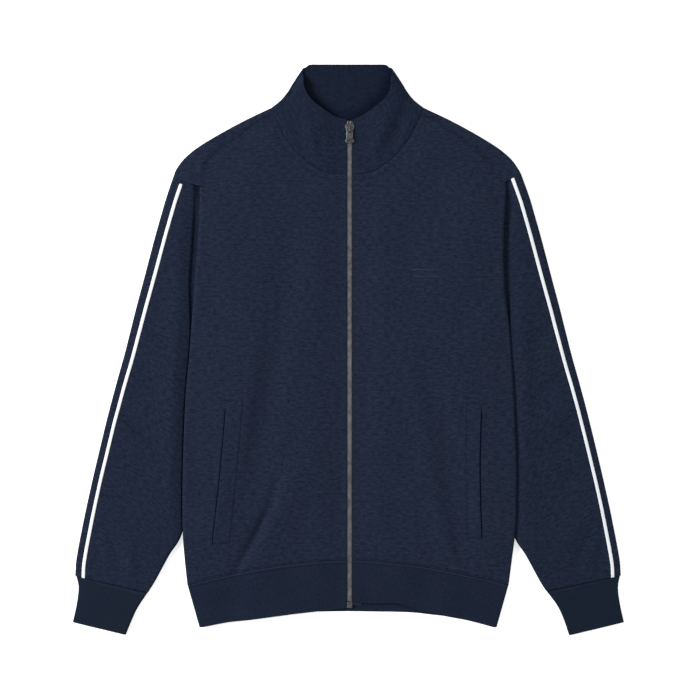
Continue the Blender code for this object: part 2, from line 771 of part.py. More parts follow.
def hem_row(share):
    """One row round the hem band, at a share of its depth: zip, side, back, side, zip."""
    row = []
    for hand in (RIGHT, LEFT):
        column = "front_" + HAND_NAME[hand]
        tops = neck_points(hand) + shoulder_points(hand)[1:]
        start_x = zip_edge_x(hand)
        seam_side = side_x(HEM_SEAM[-1].drop, hand)
        edge = blend(seam_side, HEM_CORNER_X, share)
        edge_drop_here = blend(HEM_SEAM[-1].drop + GAP, HEM_CORNER_DROP, share)
        front = []
        for top in tops[:-1]:
            across = (top.x - start_x) / (tops[-1].x - start_x)
            x = blend(start_x, edge - TURN_RADIUS, across)
            seam_x = blend(start_x, seam_side - TURN_RADIUS, across)
            seam_drop = read(HEM_SEAM, "drop", seam_x) + GAP
            drop = blend(seam_drop, read(HEM_EDGE, column, x), share)
            under = front_under(x * hand, drop)
            front.append(flat_pair(x, drop, under + DOUBLED, under))
        high = FRONT_UNDER + DOUBLED
        centre = Point(edge - high / 2.0, edge_drop_here)
        turn = turned_edge(centre, Point(1.0, 0.0), 0.0, high, DOUBLED, HALF_TURN)
        last = BACK_NECK_COLUMNS + SHOULDER_COLUMNS - 2
        back = []
        for index in range(last, -1, -1):
            across = back_share(index)
            seam_x = across * back_edge_x(HEM_SEAM[-1].drop, hand)
            x = blend(seam_x, seam_x * edge / seam_side, share)
            seam_drop = read(HEM_SEAM, "drop", across * HEM_SEAM[-1].x) + GAP
            drop = blend(seam_drop, read(HEM_EDGE, "back", x), share)
            back.append(flat_pair(x, drop, 0.0, DOUBLED))
        half = [mirrored(pair, hand) for pair in front + turn + back]
        row += half if hand == RIGHT else half[-2::-1]
    return row


def hem_grid():
    return [hem_row(index / HEM_ROWS) for index in range(HEM_ROWS + 1)]


def height_over(obj, x, drop):
    """The height of a finished piece's upper face above a place."""
    start = Vector(to_frame((x, drop, 100.0)))
    hit, place, _, _ = obj.ray_cast(start, Vector((0.0, 0.0, -1.0)))
    if not hit:
        raise ValueError(f"nothing of {obj.name} under {x}, {drop}")
    return place.z / MM


def welt_grid(hand, front):
    """A pocket welt lies on the front."""
    table = POCKET_WELT[hand]
    rows = []
    for share in even(WELT_ROWS):
        drop = blend(table[0].drop, table[-1].drop, share)
        inner = read(table, "inner_x", drop)
        outer = read(table, "outer_x", drop)
        pairs = []
        for part in (0.0, 0.5, 1.0):
            x = blend(inner, outer, part) * hand
            height = height_over(front, x, drop) + WELT_GAP
            pairs.append(flat_pair(x, drop, height + TAPE, height))
        rows.append(pairs)
    return rows


def plate(name, outline, low, high, finish_name, bevel=0.0, centre=(0.0, 0.0, 0.0)):
    """A plate of an outline given as (x, drop) points, from one height to another."""
    bm = bmesh.new()
    ring = [bm.verts.new(to_frame((x, drop, low))) for x, drop in outline]
    face = bm.faces.new(ring)
    raised = bmesh.ops.extrude_face_region(bm, geom=[face])["geom"]
    up = [item for item in raised if isinstance(item, bmesh.types.BMVert)]
    bmesh.ops.translate(bm, verts=up, vec=(0.0, 0.0, (high - low) * MM))
    bmesh.ops.translate(bm, verts=bm.verts, vec=[-value for value in centre])
    obj = finish(name, bm, finish_name, smooth=False)
    obj.location = centre
    if bevel:
        modifier = obj.modifiers.new("worn_edges", "BEVEL")
        modifier.width = bevel * MM
        modifier.segments = 1
        modifier.limit_method = "ANGLE"
    return obj


def block(name, x_range, drop_range, low, high, finish_name="zip_metal", centre=(0.0, 0.0, 0.0)):
    outline = [
        (x_range[0], drop_range[0]),
        (x_range[0], drop_range[1]),
        (x_range[1], drop_range[1]),
        (x_range[1], drop_range[0]),
    ]
    return plate(name, outline, low, high, finish_name, centre=centre)


def combine(body, other, operation):
    """Join or cut one object with another, which then leaves the scene."""
    modifier = body.modifiers.new(other.name, "BOOLEAN")
    modifier.operation = operation
    modifier.object = other
    other.hide_render = True
    other.display_type = "WIRE"


def rounded(centre_x, centre_drop, half_x, half_drop, count):
    """An oval outline."""
    points = []
    for index in range(count):
        angle = 2.0 * math.pi * index / count
        points.append((centre_x + half_x * math.cos(angle), centre_drop + half_drop * math.sin(angle)))
    return points


def build_zip():
    """Tapes, closed chain, stops, box, slider and the pull tab that swings on it."""
    end = CHAIN_END_DROP + BOX_LENGTH
    for hand in (RIGHT, LEFT):
        near = ZIP_X + hand * (CHAIN_HALF + GAP)
        far = ZIP_X + hand * TAPE_OUT
        drops = (STOP_DROP, end - 4.0)
        block(f"zip_tape_{HAND_NAME[hand]}", (near, far), drops, TAPE_LOW, TAPE_LOW + TAPE, "zip_tape")
        inside = ZIP_X + hand * 0.4
        outside = ZIP_X + hand * (CHAIN_HALF - 0.2)
        drops = (STOP_DROP, SLIDER_DROP - GAP)
        block(f"zip_stop_{HAND_NAME[hand]}", (inside, outside), drops, TAPE_LOW, 5.4)
    sides = (ZIP_X - CHAIN_HALF, ZIP_X + CHAIN_HALF)
    drops = (SLIDER_DROP + SLIDER_LENGTH + GAP, CHAIN_END_DROP)
    block("zip_chain", sides, drops, TAPE_LOW, 4.8, "zip_teeth")
    box_half = CHAIN_HALF + 0.2
    drops = (CHAIN_END_DROP + GAP, end)
    block("zip_box", (ZIP_X - box_half, ZIP_X + box_half), drops, TAPE_LOW, 5.2)
    build_slider()
    build_pull()


def build_slider():
    """Two plates on a post, with a bridge on top for the pull tab."""
    top = SLIDER_DROP
    foot = SLIDER_DROP + SLIDER_LENGTH
    half = [(4.4, top), (6.2, top + 2.0), (6.2, top + 5.5), (4.3, foot - 1.5), (3.4, foot)]
    outline = [(ZIP_X + x, drop) for x, drop in half] + [(ZIP_X - x, drop) for x, drop in reversed(half)]
    slider = plate("zip_slider", outline, 5.9, 6.8, "zip_metal")
    pieces = [
        block("slider_post", (ZIP_X - 0.8, ZIP_X + 0.8), (top + 2.0, foot - 3.0), 2.7, 6.2),
        block("slider_sole", (ZIP_X - 3.4, ZIP_X + 3.4), (top + 0.5, foot - 0.5), TAPE_LOW, 3.1),
        block("slider_bridge", (ZIP_X - 1.1, ZIP_X + 1.1), (top + 2.5, foot - 0.4), 6.4, 10.0),
    ]
    for piece in pieces:
        combine(slider, piece, "UNION")
    hollow = block("slider_hollow", (ZIP_X - 2.0, ZIP_X + 2.0), (top + 3.8, foot - 1.8), 6.8, 9.0)
    combine(slider, hollow, "DIFFERENCE")


def build_pull():
    """A flat tab on a crossbar under the bridge, with a window and a ring end."""
    axis = to_frame((ZIP_X, PULL_AXIS_DROP, PULL_AXIS_HEIGHT))
    low = PULL_AXIS_HEIGHT - PULL_WALL / 2.0
    high = PULL_AXIS_HEIGHT + PULL_WALL / 2.0
    bar = PULL_AXIS_DROP - PULL_WALL / 2.0
    ring_half = 6.4
    ring_long = 4.0
    ring_centre = PULL_END_DROP - ring_long
    half = [(3.4, bar), (4.5, bar + 5.0), (4.5, ring_centre - 5.0), (4.0, ring_centre - 3.4)]
    for angle in (-40, -15, 10, 35, 60, 80):
        reach = math.radians(angle)
        half.append((ring_half * math.cos(reach), ring_centre + ring_long * math.sin(reach)))
    outline = [(ZIP_X + x, drop) for x, drop in half] + [(ZIP_X - x, drop) for x, drop in reversed(half)]
    pull = plate("zip_pull", outline, low, high, "zip_metal", centre=axis)
    window = block(
        "pull_window", (ZIP_X - 2.0, ZIP_X + 2.0), (bar + PULL_WALL, 96.6), low - 1.0, high + 1.0
    )
    oval = rounded(ZIP_X, ring_centre, 3.8, 2.4, 12)
    eye = plate("pull_eye", oval, low - 1.0, high + 1.0, "zip_metal")
    combine(pull, window, "DIFFERENCE")
    combine(pull, eye, "DIFFERENCE")


def build():
    for obj in list(bpy.data.objects):
        bpy.data.objects.remove(obj)
    cloth("back", back_grid(), "body_jersey")
    cloth("collar", collar_grid(), "body_jersey")
    cloth("hem_band", hem_grid(), "rib_jersey")
    for hand in (RIGHT, LEFT):
        side = HAND_NAME[hand]
        front = cloth(f"front_{side}", front_grid(hand), "body_jersey")
        sleeve = sleeve_grid(hand)
        cloth(f"sleeve_{side}", sleeve, "body_jersey")
        cloth(f"cuff_{side}", cuff_grid(hand), "rib_jersey")
        cloth(f"sleeve_stripe_{side}", stripe_grid(hand, sleeve), "stripe_tape")
        cloth(f"pocket_welt_{side}", welt_grid(hand, front), "body_jersey")
    build_zip()


build()
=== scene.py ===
import math

import bmesh
import bpy
import numpy as np
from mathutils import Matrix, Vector
from mathutils.bvhtree import BVHTree


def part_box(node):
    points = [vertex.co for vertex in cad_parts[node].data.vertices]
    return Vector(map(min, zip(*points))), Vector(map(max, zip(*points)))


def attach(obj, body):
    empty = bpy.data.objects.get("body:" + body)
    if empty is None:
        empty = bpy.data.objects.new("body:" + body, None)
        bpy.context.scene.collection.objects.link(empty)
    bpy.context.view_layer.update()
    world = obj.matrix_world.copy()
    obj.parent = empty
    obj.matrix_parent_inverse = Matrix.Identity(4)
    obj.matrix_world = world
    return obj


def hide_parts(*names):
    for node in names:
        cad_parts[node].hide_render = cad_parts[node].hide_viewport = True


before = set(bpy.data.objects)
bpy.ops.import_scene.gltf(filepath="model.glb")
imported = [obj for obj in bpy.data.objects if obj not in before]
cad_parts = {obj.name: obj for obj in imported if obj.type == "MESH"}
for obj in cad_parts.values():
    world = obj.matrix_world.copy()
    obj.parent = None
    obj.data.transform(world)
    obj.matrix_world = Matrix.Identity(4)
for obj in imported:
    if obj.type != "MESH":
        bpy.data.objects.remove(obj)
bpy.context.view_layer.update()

# ---------------------------------------------------------------- sleeves
# Two long sleeves of sweat jersey, each sewn into a tube and laid flat. The inner part of each
# is tucked under the body's side, so the body's fold stands over it with a deep gap beside it.

# Places are in millimetres: x is the distance from the garment's middle, towards one side, and
# drop the distance down from the top of the collar. Every piece goes to the frame by to_frame.
MM = 0.001
STOP_DROP = 78.2
COLLAR_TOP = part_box("zip_stop_right")[1].y / MM + STOP_DROP
ZIP_X = (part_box("zip_chain")[0].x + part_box("zip_chain")[1].x) / 2 / MM
RIGHT = -1  # the wearer's right, at -X
LEFT = 1
SIDES = ((RIGHT, "right"), (LEFT, "left"))
OWN_COLUMN = {RIGHT: 1, LEFT: 2}  # where a table has one for each side
FIRST_RADIUS = 3  # a fold's radius is found from this one in a few steps

JERSEY = 1.5
GAP = 0.3
OUTER_MARGIN, INNER_MARGIN = 12, 5  # from a tube's folds to the line where the body covers it
ARMPIT_DROP = 374
ARMPIT_TUCK = 64
BODY_SIDE = np.array((
    # drop, half width at the wearer's right, half width at the left
    (150, 202.6, 215.5),
    (164, 203.6, 218.5),
    (190, 203.9, 218.2),
    (228, 205.6, 215.8),
    (270, 208.5, 215.4),
    (313, 211.5, 217.4),
    (360, 215.2, 223),
    (406, 218.6, 226.3),
    (450, 222.8, 229.4),
    (505, 225.4, 231.7),
    (574, 227.4, 233.4),
    (643, 227.4, 231.6),
    (684, 224.8, 227),
    (719, 221.3, 222.8),
))
SHOULDER_END = {RIGHT: (241.2, 158), LEFT: (239.4, 151)}  # on the outline: x and drop
CORNER_DROP = {RIGHT: 170, LEFT: 164}  # where the armhole meets the body's side
UNDER_START = {RIGHT: 202.3, LEFT: 196.6}  # from here down the sleeve is well under the body
UNDER_TUCK = 7
SLEEVE_HEAD = {RIGHT: (203.3, 169.8), LEFT: (218, 160.8)}  # its inner end
SLEEVE_OUT = {RIGHT: 0, LEFT: 1.3}  # this sleeve lies a little further out
SLEEVE_CAP = (
    # outer x and drop, inner drop, height of the covered part, swell of the part that shows
    (250.6, 185, 190, 3.4, 2.6),
    (257.3, 208, 222, 3.4, 2.6),
    (265, 235, 255, 3.4, 2.8),
    (274, 269, 290, 3.4, 2.8),
    (283.6, 305.5, 330, 3.4, 2.8),
    (292.8, 340, 374, 3.4, 2.8),
)
SLEEVE_TUBE = (
    # outer x and drop, inner x and drop, height of the covered part, swell of the rest
    (300.8, 372, 167, 418, 3.4, 2.8),
    (308.6, 402.5, 176, 464, 3.4, 2.8),
    (318.5, 438, 188, 512, 3.4, 2.8),
    (330.5, 483, 202, 560, 3.4, 2.8),
    (342, 530, 217, 606, 3.4, 2.8),
    (353, 577, 230, 652, 3.4, 2.8),
    (364.5, 630, 246, 678, 3.4, 2.8),
    (374.8, 684.5, 266, 714.5, 4.4, 1.2),
)
SLEEVE_END = {RIGHT: (376.4, 706.8, 275.4, 729.4, 5, 0), LEFT: (376.5, 706.2, 274.2, 727.4, 5, 0)}
HEAD_HEIGHT = {RIGHT: (4.6, 4.6), LEFT: (4.8, 3.3)}  # like base and swell above
SLEEVE_SWELL_RAMP = {RIGHT: (30, 20), LEFT: (30, 12)}  # how soon it swells: top, low
SLEEVE_FULL = 2.6  # soft cloth above the pressed height, beside the body's fold
SLEEVE_VALLEY = {RIGHT: (5.6, -0.5), LEFT: (4.6, -1.8)}  # pressed cloth beside the body: top, low
SLEEVE_FLANK = {RIGHT: (4, 2.5), LEFT: (9, 1.8)}  # from there to the full height: top, low
SLEEVE_LOW = (290, 380)  # drops between the top and the low values
SLEEVE_RIPPLE = 0.22
FLOOR_RIPPLE = 0.25
HEAD_FULL = 0.8  # like SLEEVE_FULL, in the sleeve's head
HEAD_SWELL_RAMP = 12
HEAD_RUN = (4, 60)  # distances from the shoulder between the head's values and the sleeve's
CREASE_RUN = (10, 60)  # where the creases start
FULL_RUN = 470  # from here to the cuff the cloth gets flatter
SLEEVE_ROWS = 170
SLEEVE_CREASES = {
    # each a path of (x, drop), its half width and its height, below zero for a trough
    RIGHT: (
        (((226, 212), (231, 262), (236, 330), (241, 420), (243, 520), (241, 600)), 13, 2.2),
        (((318, 470), (290, 500), (262, 520)), 10.5, -2.7),
        (((322, 492), (294, 520), (262, 540)), 11.5, 2.2),
        (((332, 545), (300, 560), (262, 572)), 10.5, -2.3),
        (((344, 590), (316, 596), (280, 622)), 12.5, -1.8),
        (((300, 400), (276, 430), (246, 452)), 13.5, -2.2),
        (((282, 340), (262, 372), (240, 392)), 13.5, -1.8),
        (((330, 640), (318, 672), (312, 706)), 9.5, -1.8),
        (((352, 650), (346, 680), (344, 702)), 8.5, -1.4),
        (((300, 660), (298, 690), (300, 716)), 9.5, 1.6),
    ),
    LEFT: (
        (((233, 206), (235, 262), (239, 330), (244, 420), (248, 520), (245, 600)), 13, 2.2),
        (((306, 420), (284, 446), (252, 470)), 11.5, -2.5),
        (((316, 470), (292, 486), (258, 500)), 10.5, 2),
        (((324, 500), (296, 522), (262, 536)), 10.5, -2.3),
        (((338, 560), (312, 574), (272, 600)), 12.5, -2),
        (((290, 350), (268, 382), (244, 404)), 13.5, -2.2),
        (((346, 610), (322, 634), (300, 664)), 11.5, 1.8),
        (((334, 650), (322, 676), (316, 706)), 9.5, -1.8),
        (((356, 648), (352, 676), (350, 700)), 8.5, -1.4),
    ),
}
# Nine ripples: the wavelength, direction and phase of each.
RIPPLES = np.random.default_rng(5).uniform((45, 0, 0), (150, 2 * math.pi, 2 * math.pi), (9, 3))


def ease(value):
    """0 to 1, with a smooth start and end."""
    share = np.clip(value, 0, 1)
    return share * share * (3 - 2 * share)


def ramp(value, start, end):
    return ease((value - start) / (end - start))


def blend(start, end, share):
    return start + (end - start) * share


def smooth(keys, values, key):
    """Values at the keys asked for, on a smooth curve through the given ones."""
    keys = np.asarray(keys, float)
    values = np.asarray(values, float)
    slopes = np.empty_like(values)
    slopes[1:-1] = (values[2:] - values[:-2]) / (keys[2:] - keys[:-2])
    slopes[0] = (values[1] - values[0]) / (keys[1] - keys[0])
    slopes[-1] = (values[-1] - values[-2]) / (keys[-1] - keys[-2])
    key = np.clip(key, keys[0], keys[-1])
    step = np.clip(np.searchsorted(keys, key, side="right") - 1, 0, len(keys) - 2)
    span = keys[step + 1] - keys[step]
    t = (key - keys[step]) / span
    rise = values[step + 1] - values[step]
    bend = (slopes[step] + slopes[step + 1]) * span - 2 * rise
    return values[step] + t * (slopes[step] * span + t * (rise - slopes[step] * span - bend + t * bend))


def lengths_along(points):
    """The distance of each point from the first, along the path through them."""
    steps = np.linalg.norm(np.diff(points, axis=0), axis=-1)
    return np.concatenate((np.zeros((1,) + steps.shape[1:]), np.cumsum(steps, axis=0)))


def columns_at(keys, table, key):
    """All the columns of a table at the keys asked for."""
    return np.stack([smooth(keys, column, key) for column in table.T], axis=-1)


def along(points, shares):
    """Points at shares of the length of a smooth path."""
    points = np.asarray(points, float)
    lengths = lengths_along(points)
    return columns_at(lengths, points, np.asarray(shares) * lengths[-1])


def column_at(table, key, column=1):
    """A table's column at keys of its first one."""
    return smooth(table[:, 0], table[:, column], key)


def evenly(count):
    return np.linspace(0, 1, count)


def lengths_across(places):
    """How far each place in a grid is along its row."""
    return lengths_along(places.transpose(1, 0, 2)).T


def side_x(drop, hand):
    return column_at(BODY_SIDE, drop, OWN_COLUMN[hand])


def armhole_x(drop, hand):
    """The armhole seam: beside the body at the shoulder, then straight to the armpit under it."""
    start, corner = UNDER_START[hand], CORNER_DROP[hand]
    top = side_x(start, hand) - UNDER_TUCK
    armpit = side_x(ARMPIT_DROP, hand) - ARMPIT_TUCK
    under = blend(top, armpit, (drop - start) / (ARMPIT_DROP - start))
    beside = blend(side_x(corner, hand) + GAP, top, np.clip((drop - corner) / (start - corner), 0, 1))
    return np.where(drop <= start, beside, under)


def from_paths(x, drop, paths):
    """Each place's distance from the nearest path, the same but below zero on one side of it, and
    how far along the path it is, from 0 to 1."""
    nearest = np.full(np.shape(x), 1e9)
    signed, share = nearest.copy(), np.zeros(np.shape(x))
    for path in paths:
        path = np.asarray(path, float)
        lengths = lengths_along(path)
        for index, (start, end) in enumerate(zip(path, path[1:])):
            run = end - start
            over, down = x - start[0], drop - start[1]
            reach = np.clip((over * run[0] + down * run[1]) / max(run @ run, 1e-9), 0, 1)
            away = np.hypot(over - reach * run[0], down - reach * run[1])
            place = blend(lengths[index], lengths[index + 1], reach) / lengths[-1]
            side = np.sign(run[0] * down - run[1] * over)
            share = np.where(away < nearest, place, share)
            signed = np.where(away < nearest, away * side, signed)
            nearest = np.minimum(away, nearest)
    return nearest, signed, share


def creased(x, drop, creases):
    """The height that soft creases add at each place."""
    total = np.zeros(np.shape(x))
    for points, half_width, height in creases:
        away, _, share = from_paths(x, drop, [points])
        fade = blend(0.35, 1, np.sin(math.pi * share))
        total = total + height * fade * np.exp(-((away / half_width) ** 2))
    return total


def rippled(x, drop):
    """The slight unevenness of cloth that was smoothed out by hand."""
    total = np.zeros(np.shape(x))
    for wavelength, direction, phase in RIPPLES:
        way = x * math.cos(direction) + drop * math.sin(direction)
        total = total + np.sin(2 * math.pi * way / wavelength + phase)
    return total / math.sqrt(len(RIPPLES))


def to_frame(places):
    """From millimetres and drops to metres in the frame."""
    return np.stack((places[..., 0], COLLAR_TOP - places[..., 1], places[..., 2]), axis=-1) * MM


def as_plain_mesh(obj, sharp=None):
    """Puts the result of an object's modifiers in its mesh, smooth up to an angle if one is given."""
    depsgraph = bpy.context.evaluated_depsgraph_get()
    mesh = bpy.data.meshes.new_from_object(obj.evaluated_get(depsgraph))
    obj.modifiers.clear()
    obj.data = mesh
    mesh.name = obj.name
    mesh.shade_smooth()
    if sharp:
        mesh.set_sharp_from_angle(angle=math.radians(sharp))
    return obj


def add_object(name, data):
    obj = bpy.data.objects.new(name, data)
    bpy.context.scene.collection.objects.link(obj)
    return obj


def round_edges(obj, name, width, segments, angle):
    """Rounds the edges that are sharper than the angle."""
    edges = obj.modifiers.new(name, "BEVEL")
    edges.width = width * MM
    edges.segments = segments
    edges.limit_method = "ANGLE"
    edges.angle_limit = math.radians(angle)


def garment_part(piece, node, body="garment"):
    """The piece rides on the body and stands for the CAD node."""
    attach(piece, body)
    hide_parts(node)
    return piece


def cloth(name, node, slot, skins, wall, rounding, *materials):
    """A thin closed shell of cloth behind its outer skins, with softened rims, for a CAD node.

    Each skin is a grid of places, their (u, v) on the flat cloth, and whether its faces turn over.
    A second material is the cloth's inner side."""
    verts, faces, weave = [], [], []
    for places, flat, turned in skins:
        rows, columns = places.shape[:2]
        index = np.arange(rows * columns).reshape(rows, columns) + len(verts)
        corners = np.stack((index[:-1, :-1], index[:-1, 1:], index[1:, 1:], index[1:, :-1]), axis=-1)
        if turned:
            corners = corners[..., ::-1]
        verts += to_frame(places).reshape(-1, 3).tolist()
        weave += (flat * MM).reshape(-1, 2).tolist()
        faces += corners.reshape(-1, 4).tolist()
    mesh = bpy.data.meshes.new(name)
    mesh.from_pydata(verts, [], faces)
    uv = mesh.uv_layers.new(name="weave")
    uv.data.foreach_set("uv", np.array(weave)[np.array(faces).ravel()].ravel())
    bm = bmesh.new()
    bm.from_mesh(mesh)
    bmesh.ops.remove_doubles(bm, verts=bm.verts, dist=0.004 * MM)
    bmesh.ops.dissolve_degenerate(bm, edges=bm.edges, dist=0.004 * MM)
    bm.to_mesh(mesh)
    bm.free()
    obj = add_object(name, mesh)
    for material in materials:
        mesh.materials.append(material)
    shell = obj.modifiers.new("wall", "SOLIDIFY")
    shell.thickness = wall * MM
    shell.offset = -1
    shell.material_offset = len(materials) - 1
    round_edges(obj, "soft_rims", rounding, 2, 60)
    return garment_part(as_plain_mesh(obj), node)


def declare_cut(piece, skins):
    corners = np.concatenate([flat.reshape(-1, 2) for _, flat, _ in skins]) * MM
    for _, flat, _ in skins:
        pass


EDGE_STEPS = np.array((0, 0.6, 1.3, 2.2, 3.4, 5))
HALF_TURN = np.radians(np.linspace(90, -90, 11))
ROLL_DEPTH = 0.5
ROLL_REACH = 1.7


def with_dense_start(count, length):
    """Shares from 0 to 1, closer together at the start, for a run of that length."""
    near = EDGE_STEPS / length
    return np.concatenate((near[:-1], np.linspace(near[-1], 1, count)))


def with_dense_ends(count, length):
    """Shares from 0 to 1, closer together at both ends."""
    near = EDGE_STEPS / length
    return np.concatenate((near, np.linspace(near[-1], 1 - near[-1], count)[1:-1], 1 - near[::-1]))


def seam_roll(distance):
    """How far cloth rolls down towards a seam."""
    return -ROLL_DEPTH * np.exp(-((distance / ROLL_REACH) ** 2))


def flat_places(x, drop, height, hand):
    """A column of places from arrays of millimetres, on the asked side of the garment."""
    return np.stack(np.broadcast_arrays(x * hand, drop, height), axis=-1)


def sleeve_sections(hand):
    """The sleeve's sections from the shoulder to the cuff seam, as one smooth table."""
    x, drop = SHOULDER_END[hand]
    rows = [(x + 0.1, drop - 0.2, *SLEEVE_HEAD[hand], *HEAD_HEIGHT[hand])]
    for outer_x, outer_drop, inner_drop, base, swell in SLEEVE_CAP:
        inner_drop = max(inner_drop, UNDER_START[hand])
        rows.append((outer_x, outer_drop, armhole_x(inner_drop, hand) + GAP, inner_drop, base, swell))
    table = np.array(rows + list(SLEEVE_TUBE) + [SLEEVE_END[hand]], float)
    table[1:, 0] += SLEEVE_OUT[hand]
    return table


def sections_between(table, count):
    """Many rows on a smooth surface through a table's sections."""
    lengths = lengths_along(table[:, :2])
    places = with_dense_ends(count, lengths[-1]) * lengths[-1]
    return columns_at(lengths, table, places), places


def tube_skin(outer, inner, top, closed, hand, floor, run):
    """The outer skin of a flat tube: its upper layer, outer fold, lower layer and inner fold.

    top and floor give the heights of the two layers; open rows are armhole edges."""
    width = np.linalg.norm(outer - inner, axis=1)
    way = (outer - inner) / width[:, None]

    def spot(inset):
        """The x and the drop at that distance in from the outer line."""
        return (outer - way * inset[:, None]).T

    def column(inset, height):
        return flat_places(*spot(inset), height, hand)

    def upper(inset):
        return column(inset, top(*spot(inset), inset))

    def lower(inset):
        return column(inset, floor(*spot(inset)))

    def fold_radius(inset_of):
        radius = np.full(len(width), FIRST_RADIUS)
        for _ in range(6):
            inset = inset_of(radius)
            radius = top(*spot(inset), inset) / 2
        return radius

    outer_radius = fold_radius(lambda radius: radius)
    inner_radius = fold_radius(lambda radius: width - radius)
    near, covered = np.zeros(len(width)), width.copy()
    for _ in range(22):  # halves the way to where the row goes under the body's side
        middle = (near + covered) / 2
        x, drop = spot(middle)
        outside = x > side_x(drop, hand)
        near = np.where(outside, middle, near)
        covered = np.where(outside, covered, middle)
    inner_end = width - inner_radius
    covered = np.clip(covered, outer_radius + OUTER_MARGIN, inner_end - INNER_MARGIN)

    def inner_fold(angles, layer):
        for angle in angles:
            inset = inner_end + inner_radius * math.cos(angle)
            turn = column(inset, inner_radius * (1 + math.sin(angle)))
            yield np.where(closed[:, None], turn, layer(inset))

    quarter = np.radians(np.linspace(0, 90, 5))
    columns = list(inner_fold(quarter[:-1], upper))
    columns += [upper(blend(inner_end, covered, share)) for share in evenly(9)[:-1]]
    columns += [upper(blend(covered, outer_radius, share)) for share in evenly(46) ** 1.35]
    for angle in HALF_TURN[1:]:
        inset = outer_radius * (1 - math.cos(angle))
        columns.append(column(inset, outer_radius * (1 + math.sin(angle))))
    fold = len(columns) - 1 - len(HALF_TURN) // 2  # the outermost column
    columns += [lower(blend(outer_radius, inner_end, share)) for share in evenly(18)[1:]]
    columns += inner_fold(-quarter[::-1][1:], lower)
    places = np.stack(columns, axis=1)
    across = lengths_across(places)
    across = across - across[:, fold : fold + 1]
    flat = np.stack((across, np.broadcast_to(run[:, None], across.shape)), axis=-1)
    return places, flat


def edge_softness(inset, depth, reach):
    """Cloth is a little thinner towards a fold."""
    return 1 - depth * np.exp(-((inset / reach) ** 2))


def sleeve_top(x, drop, inset, base, swell, run, hand):
    """The height of the sleeve's upper layer: pressed flat under the body, full beside it."""
    outside = x - side_x(drop, hand)
    low = ramp(drop, *SLEEVE_LOW)
    shows = ease((outside - blend(*SLEEVE_VALLEY[hand], low)) / blend(*SLEEVE_FLANK[hand], low))
    start = ramp(run, *HEAD_RUN)
    reach = blend(HEAD_SWELL_RAMP, blend(*SLEEVE_SWELL_RAMP[hand], low), start)
    end = 1 - 0.7 * ramp(run, FULL_RUN, run[-1])
    full = (SLEEVE_FULL * start + HEAD_FULL * (1 - start)) * end
    folds = creased(x, drop, SLEEVE_CREASES[hand]) + SLEEVE_RIPPLE * rippled(x * hand, drop)
    height = base + swell * ease(outside / reach) + shows * (full + folds * ramp(run, *CREASE_RUN))
    height = height * (1 - (1 - edge_softness(inset, 0.2, 9)) * shows * start)
    return height + 0.5 * seam_roll(run) * shows + seam_roll(run[-1] - run)


def underside(x, drop):
    """Shallow creases in the layer that lies on the floor."""
    return np.maximum(FLOOR_RIPPLE * rippled(x + 40, drop * 0.8) - 0.1, 0)


def new_material(name, shader_values):
    material = bpy.data.materials.new(name)
    material.use_nodes = True
    shader = material.node_tree.nodes["Principled BSDF"]
    for socket, value in shader_values.items():
        shader.inputs[socket].default_value = value
    return material, material.node_tree, shader


def put_node(tree, kind, values=(), **settings):
    """A node with its settings, and with values or links on its named inputs."""
    made = tree.nodes.new(kind)
    for name, value in settings.items():
        setattr(made, name, value)
    for socket, value in dict(values).items():
        if isinstance(value, bpy.types.NodeSocket):
            tree.links.new(value, made.inputs[socket])
        else:
            made.inputs[socket].default_value = value
    return made


def new_group(name, inputs, outputs, kind="ShaderNodeTree"):
    """A node group with named sockets, its inputs given as (name, socket kind, default)."""
    tree = bpy.data.node_groups.new(name, kind)
    for socket, kind, value in inputs:
        made = tree.interface.new_socket(socket, in_out="INPUT", socket_type=kind)
        if value is not None:
            made.default_value = value
    for socket, kind in outputs:
        tree.interface.new_socket(socket, in_out="OUTPUT", socket_type=kind)
    return tree, tree.nodes.new("NodeGroupInput").outputs, tree.nodes.new("NodeGroupOutput").inputs


def math_of(tree, operation, *values, **settings):
    """The result of a math node on numbers and sockets."""
    node = put_node(tree, "ShaderNodeMath", dict(enumerate(values)), operation=operation, **settings)
    return node.outputs[0]


def mix_of(tree, factor, first, second, **settings):
    """A colour between two."""
    values = {"Factor": factor, 6: first, 7: second}
    return put_node(tree, "ShaderNodeMix", values, data_type="RGBA", **settings).outputs[2]


def range_of(tree, value, start, end, first, last, **settings):
    """A value from between start and end, set between first and last."""
    values = {"Value": value, "From Min": start, "From Max": end, "To Min": first, "To Max": last}
    return put_node(tree, "ShaderNodeMapRange", values, **settings).outputs[0]


def parts_of(tree, vector):
    return put_node(tree, "ShaderNodeSeparateXYZ", {0: vector}).outputs


def stretched_noise(tree, weave, wide, high, detail):
    """Noise in streaks of that width and height in metres, from about -0.5 to 0.5."""
    scale = (1 / wide, 1 / high, 1)
    place = put_node(tree, "ShaderNodeVectorMath", {0: weave, 1: scale}, operation="MULTIPLY")
    values = {"Vector": place.outputs[0], "Scale": 1, "Detail": detail, "Roughness": 0.6}
    noise = put_node(tree, "ShaderNodeTexNoise", values, noise_dimensions="2D")
    return math_of(tree, "SUBTRACT", noise.outputs[0], 0.5)


def weighted_sum(tree, terms, total):
    for socket, weight in terms:
        total = math_of(tree, "MULTIPLY_ADD", socket, weight, total)
    return total


def row_wave(tree, distance, pitch):
    """A wave from 0 to 1 that repeats at each pitch."""
    turns = math_of(tree, "DIVIDE", distance, pitch)
    wave = math_of(tree, "SINE", math_of(tree, "MULTIPLY", turns, 2 * math.pi))
    return math_of(tree, "MULTIPLY_ADD", wave, 0.5, 0.5)


